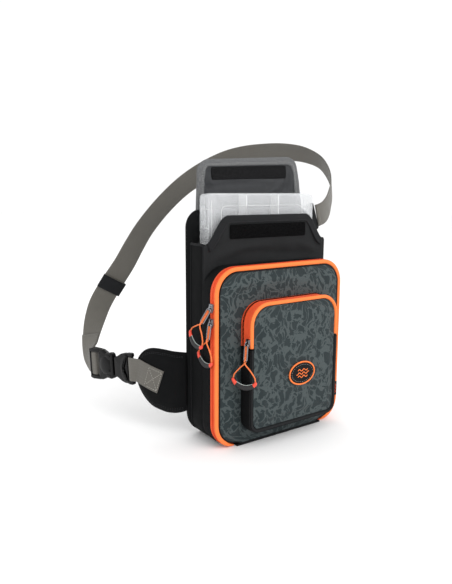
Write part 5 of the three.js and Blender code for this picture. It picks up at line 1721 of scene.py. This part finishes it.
def buckle_place(along, out, up):
    """From the buckle's own frame to its place."""
    along, out, up = np.broadcast_arrays(along, out, up)
    return BUCKLE_ORIGIN + along[..., None] * BUCKLE_ALONG + out[..., None] * BUCKLE_OUT + up[...,
        None] * BUCKLE_UP


def mirrored(points):
    """An outline given for up > 0, closed by its mirror image."""
    points = np.array(points, float)
    return np.vstack([points, points[::-1] * [1, -1]])


PRONG_DEEP = 3.4
HOUSING_DEEP = 5.4
CHEEK_DEEP = 5.2
BAR_HALF = 21.5


def buckle_plate(points, spacing, low, high, edge, steps=3):
    """Plate with rounded rims in the buckle's frame, from outline points (along, up)."""
    return plate_part(buckle_place, resample(points, spacing, True), low, high, edge, steps)


def buckle_bar(along, out, radius, sides=14):
    """Round bar across the buckle."""
    ends = buckle_place(np.full(2, along), np.full(2, out), np.array([-BAR_HALF, BAR_HALF]))
    return cord_part(resample(ends, 2.0), radius, sides)


def make_buckle():
    """Buckle: rounded plates, a domed housing, crescent flange, cheeks and round bars in the buckle's
    frame."""
    root = mirrored([(-0.5, 24), (6, 24.5), (14, 22.5), (22, 18), (30, 15)])
    male = [buckle_plate(root, 1.2, -PRONG_DEEP, PRONG_DEEP, 1.4, 4)]
    for side in (1, -1):
        cheek = np.array([(-11, 19.6), (0.5, 19.6), (0.5, 25.2), (-8, 25.6), (-10.4, 24.8), (-11, 23)]) * [
            1, side]
        male.append(buckle_plate(cheek, 1.0, -PRONG_DEEP, PRONG_DEEP, 1.2, 4))
    male.append(buckle_bar(-8.9, 0.0, 2.2))
    turn = np.radians(np.linspace(-62, 62, 22))
    outer = np.stack([-8 + 23.5 * np.cos(turn), 25.5 * np.sin(turn)], axis=1)
    inner = np.stack([-12.5 + 21.5 * np.cos(turn), 22.5 * np.sin(turn)], axis=1)
    crescent = np.vstack([outer, inner[::-1]])
    male.append(buckle_plate(crescent, 1.0, -HOUSING_DEEP, HOUSING_DEEP, 1.6, 4))
    tongue = mirrored([(20, 9), (40, 8.5), (54, 7), (56, 3)])
    male.append(buckle_plate(tongue, 1.5, -1.5, 1.5, 0.6))
    add_piece("buckle_prongs", male, "plastic", stands_for=["buckle_male"])

    shape = mirrored([
        (32, 15), (33.5, 19.5), (37, 21.5), (42, 21), (47, 20), (52, 22.5), (57, 24.8), (62, 25), (64.4, 25),
    ])
    female = [buckle_plate(shape, 1.1, -HOUSING_DEEP, HOUSING_DEEP, 1.9, 5)]
    for side in (1, -1):
        cheek = [(63.0, 19.5), (85.4, 19.5), (86.8, 21.5), (86.0, 24.4), (80, 26.2), (63.0, 25.4)]
        female.append(buckle_plate(np.array(cheek) * [1, side], 1.0, -CHEEK_DEEP, CHEEK_DEEP, 1.5, 4))
    female.append(buckle_bar(BUCKLE_LENGTH, 0.0, 2.1))
    female.append(buckle_bar(85.0, 3.4, 1.6, 12))
    around = np.linspace(0, 2 * math.pi, 40, endpoint=False)
    rings = []
    for t in np.linspace(0, math.pi / 2, 12)[:-1]:
        along = 50 + 12.5 * math.cos(t) * np.cos(around)
        rings.append(buckle_place(along, 4.9 + 2.6 * math.sin(t), 14.5 * math.cos(t) * np.sin(around)))
    female.append(grid_part(np.array(rings)))
    for side in (1, -1):
        window = [(38, 14.5), (45, 14.8), (47, 16.2), (46, 17.6), (38.5, 18.2), (36.5, 16.6)]
        female.append(buckle_plate(np.array(window) * [1, side], 0.7, 4.9, 6.3, 0.6, 3))
    for place in 37.5 + 1.9 * np.arange(4):
        ridge = [(place, -9.5), (place + 0.9, -9.5), (place + 0.9, 9.5), (place, 9.5)]
        female.append(buckle_plate(ridge, 0.8, 5.0, 6.1, 0.4, 2))
    add_piece("buckle_housing", female, "plastic", stands_for=["buckle_female"])


STRAP_START = np.array([139.0, 34.0, 333.0])
STRAP_REACH = np.array([130.0, 80.0, 195.0])
# Share of the way from the sewn end to the buckle, shares of the strap's spread, bulge and rise, and the
# direction across the webbing
STRAP_ROWS = [
    (0, 0, 0, 0, -0.4, 0, 0.92), (0.015, 0.125, -0.035, 0.035, -0.42, -0.06, 0.9),
    (0.03, 0.25, -0.03, 0.08, -0.45, -0.15, 0.88), (0.06, 0.47, 0.02, 0.2, -0.52, -0.34, 0.78),
    (0.12, 0.83, 0.19, 0.45, -0.58, -0.53, 0.62), (0.18, 1, 0.44, 0.7, -0.53, -0.67, 0.52),
    (0.24, 0.92, 0.7, 0.86, -0.29, -0.66, 0.69), (0.33, 0.64, 0.82, 0.96, -0.23, -0.41, 0.88),
    (0.42, 0.38, 0.87, 0.99, -0.38, -0.15, 0.92), (0.545, 0.12, 0.83, 0.92, -0.61, -0.21, 0.77),
    (0.67, -0.055, 0.75, 0.72, -0.84, -0.14, 0.52), (0.76, -0.07, 0.78, 0.51, -0.9, 0.09, 0.42),
    (0.85, -0.07, 1, 0.27, -0.8, 0.46, 0.39), (0.91, -0.06, 0.82, 0.11, -0.57, 0.82, -0.09),
    (0.96, -0.03, 0.46, 0.01, -0.3, 0.7, -0.65), (1, 0, 0, 0, 0, 0.1, -1),
]
WEBBING_WIDTH = 38.0
WEBBING_THICKNESS = 1.8
TAIL_STATIONS = 16
KEEPER_HALF = 12.5
KEEPER_DROP = 3.0


def squared(across, tangent):
    """Directions across a band, with their part along its run taken away."""
    return unit(across - tangent * np.einsum("ij,ij->i", across, tangent)[:, None])


def strap_rows():
    """Places and directions of the strap: its rows measured off the straight line between its ends, with a
    centripetal Catmull-Rom curve through them."""
    rows = np.array(STRAP_ROWS)
    end = buckle_place(BUCKLE_LENGTH + 3 * BAR_WIDTH, -WRAP_RADIUS, 0.0)
    places = STRAP_START + rows[:, :1] * (end - STRAP_START) + rows[:, 1:4] * STRAP_REACH
    centre, across = centripetal(places, 4), centripetal(rows[:, 4:], 4)
    return np.hstack([centre, squared(across, unit(np.gradient(centre, axis=0)))])[::2]


def make_webbing():
    """Shoulder strap, its doubled tail, the keeper, the wing's short webbing and the tab: bands carried
    along their centre lines."""
    width, thick = WEBBING_WIDTH, WEBBING_THICKNESS
    rows = smooth_path(strap_rows(), 4.0)
    centre, across = rows[:, :3], rows[:, 3:]
    over = [(83.2, 3.3), (78.7, 3.3), (74.4, 3.3), (72.8, 2.8), (72.5, 1.3)]
    wrap = np.array([(along, -out) for along, out in over] + over[:0:-1] + [(82.3, 2.9)])
    turn = buckle_place(wrap[:, 0], wrap[:, 1], np.zeros(len(wrap)))
    tangent = unit(np.gradient(centre, axis=0))
    square = squared(across, tangent)
    normal = np.cross(tangent, square)
    outward = math.copysign(1, normal[-1] @ BUCKLE_OUT)
    tail = (centre + normal * outward * (thick + 0.6))[::-1][1:TAIL_STATIONS + 1]
    full = np.vstack([centre, turn, tail])
    aim = np.vstack([square, np.tile(-BUCKLE_UP, (len(turn), 1)), square[::-1][1:TAIL_STATIONS + 1]])
    parts = [ribbon_part(full, aim, width, thick)]
    add_piece("strap_webbing", parts, "webbing", stands_for=["shoulder_strap"])

    share = np.linspace(0.46, 0.9, 22)
    point, out = wing_frame(share)
    z = 85 + 13 * (share - 0.46) / 0.44
    flat = np.column_stack([point + out * 5.9, z])
    over = np.array([(-10.0, 4.71), (-8.0, 4.71), (-4.8, 3.8), (-3.9, 2.1), (-3.65, 0), (-3.65, -2.0)])
    fold = buckle_place(over[:, 0], over[:, 1], np.zeros(len(over)))
    line = np.vstack([flat, fold])
    along = unit(np.gradient(flat, axis=0))
    cross = np.cross(along, np.column_stack([out, np.zeros(len(out))]))
    cross = cross * np.sign(cross[:, 2])[:, None]
    aim = np.vstack([cross, np.tile(BUCKLE_UP, (len(fold), 1))])
    rows = np.hstack([line, aim])
    fine = smooth_path(rows, 2.0)
    add_piece("wing_strap", [ribbon_part(fine[:, :3], fine[:, 3:], width, thick)], "webbing",
              stands_for=["wing_webbing"])
    box_stitches(flat, cross, out)

    low, high = span("strap_keeper")
    place = int(np.linalg.norm(centre - (low + high) / 2, axis=1).argmin())
    reach = np.linspace(-KEEPER_HALF, KEEPER_HALF, 7)[:, None]
    sleeve = centre[place] + tangent[place] * reach - [0, 0, KEEPER_DROP]
    outer = stadium(width / 2 + 2.4, 3.4)
    inner = stadium(width / 2 + 0.9, 1.7)
    rings = []
    for p in sleeve:
        rings.append([p + square[place] * a + normal[place] * b for a, b in outer])
    for p in sleeve[::-1]:
        rings.append([p + square[place] * a + normal[place] * b for a, b in inner])
    add_piece("strap_keeper_sleeve", [grid_part(np.array(rings), loop=True)], "edge tape",
              stands_for=["strap_keeper"])

    (x0, y0, z0), (x1, y1, z1) = span("strap_tab")
    shape = np.array([(x0, z0 + 24.5), (x0, z0), (x1 - 0.6, z1 - 42.5), (x1 - 15.7, z1), (x1 - 24.7, z1)])
    tab = resample(shape, 2.0, True)
    middle = (y0 + y1) / 2
    part = slab_part(tab, lambda x, z, d: middle - 1.25 * round_edge(d, 1.25), lambda x, z,
        d: middle + 1.25 * round_edge(d, 1.25), 2.5, 1.5)
    # The tab takes the copy of the black cloth that is lightened as painted light
    add_piece("strap_tab_cloth", [part], "black cloth", stands_for=["strap_tab"])
    seam = []
    for shift in (3.0, 6.0):
        spot = centre[0] + tangent[0] * shift - normal[0] * (1.0 if normal[0][1] > 0 else -1.0)
        ends = np.array([spot - square[0] * 16.5, spot + square[0] * 16.5])
        seam += stitch_parts(resample(ends, 2.0), (0, -1, 0), 0.1)
    add_piece("strap_end_stitches", seam, "web thread", weld=False)


def stadium(half, deep, count=7):
    """Closed flat oval with half-round ends."""
    turn = np.radians(np.linspace(90, -90, count))
    right = np.stack([half - deep + deep * np.cos(turn), deep * np.sin(turn)], axis=1)
    return np.vstack([right, -right])


def box_stitches(flat, cross, out):
    """A sewn square with a cross in it near the webbing's end."""
    outward = np.column_stack([out, np.zeros(len(out))])
    corners = [(1, 0.8), (1, -0.8), (12, -0.8), (12, 0.8)]

    def at(index, side):
        low = np.clip(index, 0, len(flat) - 1)
        k = np.arange(len(flat))
        spot = np.array([np.interp(low, k, flat[:, a]) for a in range(3)])
        aim = np.array([np.interp(low, k, cross[:, a]) for a in range(3)])
        face = np.array([np.interp(low, k, outward[:, a]) for a in range(3)])
        return spot + aim * side * 19 + face * 0.95, face

    parts = []
    runs = [(corners[i], corners[(i + 1) % 4]) for i in range(4)] + [(corners[0], corners[2]),
        (corners[1], corners[3])]
    for (i0, s0), (i1, s1) in runs:
        share = np.linspace(0, 1, 24)
        spots = [at(i0 + (i1 - i0) * t, s0 + (s1 - s0) * t) for t in share]
        path = np.array([p for p, _ in spots])
        face = np.array([f for _, f in spots])
        parts += stitch_parts(path, face, 0.15, 1.7)
    add_piece("wing_strap_stitches", parts, "web thread", weld=False)


# Studio


FLOOR_HALF = 9
CAMERA_PLACE = (-0.58206, -0.71435, 0.37585)
CAMERA_DIP = 9.72
CAMERA_TURN = -35.38
CAMERA_ROLL = 0.23
LAMP_AIM = (0, 0, 0.2)


def make_stage():
    """Pale floor, a white surround, soft area lights, and the camera."""
    st = studio()
    points = np.array([(-1, -1, 0), (1, -1, 0), (1, 1, 0), (-1, 1, 0)], float) * FLOOR_HALF
    mesh = bpy.data.meshes.new("floor")
    mesh.from_pydata(points.tolist(), [], [(0, 1, 2, 3)])
    material, tree, shader = new_material("floor_paper")
    source, _ = cloth_places(tree, "Object")
    paint(tree, shader, shaded(tree, source, tuple(st.floor), 0.01, 3.0))
    put(shader, "Roughness", 0.9)
    mesh.materials.append(material)
    floor = bpy.data.objects.new("floor", mesh)
    floor.rotation_euler = (0, 0, math.radians(-35))
    bpy.context.scene.collection.objects.link(floor)

    world = bpy.data.worlds.new("studio")
    bpy.context.scene.world = world
    world.use_nodes = True
    world.node_tree.nodes["Background"].inputs[0].default_value = (1, 1, 1, 1)
    world.node_tree.nodes["Background"].inputs[1].default_value = st.world
    for name, place, power, size in (
        ("key", (0.25, -2.2, 1.7), st.key, 1.8), ("fill", (-1.7, -0.9, 1.2), st.fill * 0.3, 1.8),
        ("rim", (0.6, 1.6, 1.6), st.fill, 1.2),
    ):
        lamp = bpy.data.lights.new(name, "AREA")
        lamp.energy = power
        lamp.size = size
        obj = bpy.data.objects.new(name, lamp)
        obj.location = place
        away = np.array(place) - LAMP_AIM
        flat = math.hypot(away[0], away[1])
        obj.rotation_euler = (math.atan2(flat, away[2]), 0, math.atan2(away[1], away[0]) + math.pi / 2)
        bpy.context.scene.collection.objects.link(obj)

    camera = bpy.data.cameras.new("camera")
    camera.lens = st.lens
    camera.sensor_width = 36.0
    view = bpy.data.objects.new("camera", camera)
    view.location = CAMERA_PLACE
    view.rotation_mode = "XYZ"
    view.rotation_euler = (math.radians(90 - CAMERA_DIP), 0, math.radians(CAMERA_TURN))
    view.rotation_euler.rotate_axis("Z", math.radians(CAMERA_ROLL))
    bpy.context.scene.collection.objects.link(view)
    bpy.context.scene.camera = view
    bpy.context.scene.view_settings.view_transform = "Standard"


# Operators


class MakeStage(bpy.types.Operator):
    """Lay the floor and set the lights and the camera"""

    bl_idname = "tackle_bag.stage"
    bl_label = "Studio"

    def execute(self, context):
        make_stage()
        return {"FINISHED"}


class MakeWebbing(bpy.types.Operator):
    """Weave the shoulder strap, its keeper and tab, and the wing's webbing"""

    bl_idname = "tackle_bag.webbing"
    bl_label = "Webbing"

    def execute(self, context):
        make_webbing()
        return {"FINISHED"}


class MakeZipPulls(bpy.types.Operator):
    """Hang the sliders, rings, loops and grips"""

    bl_idname = "tackle_bag.zip_pulls"
    bl_label = "Zip pulls"

    def execute(self, context):
        make_zip_pulls()
        return {"FINISHED"}


class MakeBackPad(bpy.types.Operator):
    """Sew the padded back panel"""

    bl_idname = "tackle_bag.back_pad"
    bl_label = "Back pad"

    def execute(self, context):
        make_back_pad()
        return {"FINISHED"}


class MakeMainCompartment(bpy.types.Operator):
    """Sew the side walls and the front wall"""

    bl_idname = "tackle_bag.main_compartment"
    bl_label = "Main compartment"

    def execute(self, context):
        make_main_compartment()
        return {"FINISHED"}


class MakeTongueTrim(bpy.types.Operator):
    """Bind the tongue and sew its hook strip on"""

    bl_idname = "tackle_bag.tongue_trim"
    bl_label = "Tongue trim"

    def execute(self, context):
        make_tongue_trim()
        return {"FINISHED"}


class MakeFlap(bpy.types.Operator):
    """Sew the flap that folds open"""

    bl_idname = "tackle_bag.flap"
    bl_label = "Flap"

    def execute(self, context):
        make_flap()
        return {"FINISHED"}


class MakeTackleBox(bpy.types.Operator):
    """Mould the clear tackle box with its dividers and latches"""

    bl_idname = "tackle_bag.tackle_box"
    bl_label = "Tackle box"

    def execute(self, context):
        make_tackle_box()
        return {"FINISHED"}


class MakeFrontPocket(bpy.types.Operator):
    """Sew the front pocket with its zip and piping"""

    bl_idname = "tackle_bag.front_pocket"
    bl_label = "Front pocket"

    def execute(self, context):
        make_front_pocket()
        return {"FINISHED"}


class MakeSmallPocket(bpy.types.Operator):
    """Sew the small pocket with its zip, piping and side tag"""

    bl_idname = "tackle_bag.small_pocket"
    bl_label = "Small pocket"

    def execute(self, context):
        make_small_pocket()
        return {"FINISHED"}


class MakeBadge(bpy.types.Operator):
    """Sew the plain oval badge on"""

    bl_idname = "tackle_bag.badge"
    bl_label = "Badge"

    def execute(self, context):
        make_badge()
        return {"FINISHED"}


class MakeHipWing(bpy.types.Operator):
    """Sew the padded hip wing"""

    bl_idname = "tackle_bag.hip_wing"
    bl_label = "Hip wing"

    def execute(self, context):
        make_hip_wing()
        return {"FINISHED"}


class MakeBuckle(bpy.types.Operator):
    """Mould both halves of the buckle"""

    bl_idname = "tackle_bag.buckle"
    bl_label = "Buckle"

    def execute(self, context):
        make_buckle()
        return {"FINISHED"}


class BagPanel(bpy.types.Panel):
    """Lists the bag's pieces in the sidebar"""

    bl_idname = "VIEW3D_PT_tackle_bag"
    bl_label = "Tackle sling bag"
    bl_space_type = "VIEW_3D"
    bl_region_type = "UI"
    bl_category = "Bag"

    def draw(self, context):
        for operator in OPERATORS:
            self.layout.operator(operator.bl_idname)
        for group in (context.scene.tackle_bag_sizes, context.scene.tackle_bag_colours,
                context.scene.tackle_bag_studio):
            box = self.layout.box()
            for key in group.__annotations__:
                box.prop(group, key)


GROUPS = {"tackle_bag_sizes": BagSizes, "tackle_bag_colours": BagColours, "tackle_bag_studio": StudioSettings}
OPERATORS = [
    MakeStage, MakeWebbing, MakeZipPulls, MakeBackPad, MakeMainCompartment, MakeTongueTrim, MakeFlap,
    MakeTackleBox,
    MakeFrontPocket, MakeSmallPocket, MakeBadge, MakeHipWing, MakeBuckle,
]


def register():
    for item in [*GROUPS.values(), *OPERATORS, BagPanel]:
        bpy.utils.register_class(item)
    for key, group in GROUPS.items():
        setattr(bpy.types.Scene, key, bpy.props.PointerProperty(type=group))


def unregister():
    for key in GROUPS:
        delattr(bpy.types.Scene, key)
    for item in [BagPanel, *reversed(OPERATORS), *reversed(GROUPS.values())]:
        bpy.utils.unregister_class(item)


def main():
    register()
    for operator in OPERATORS:
        group, name = operator.bl_idname.split(".")
        getattr(getattr(bpy.ops, group), name)()


if __name__ == "__main__":
    main()
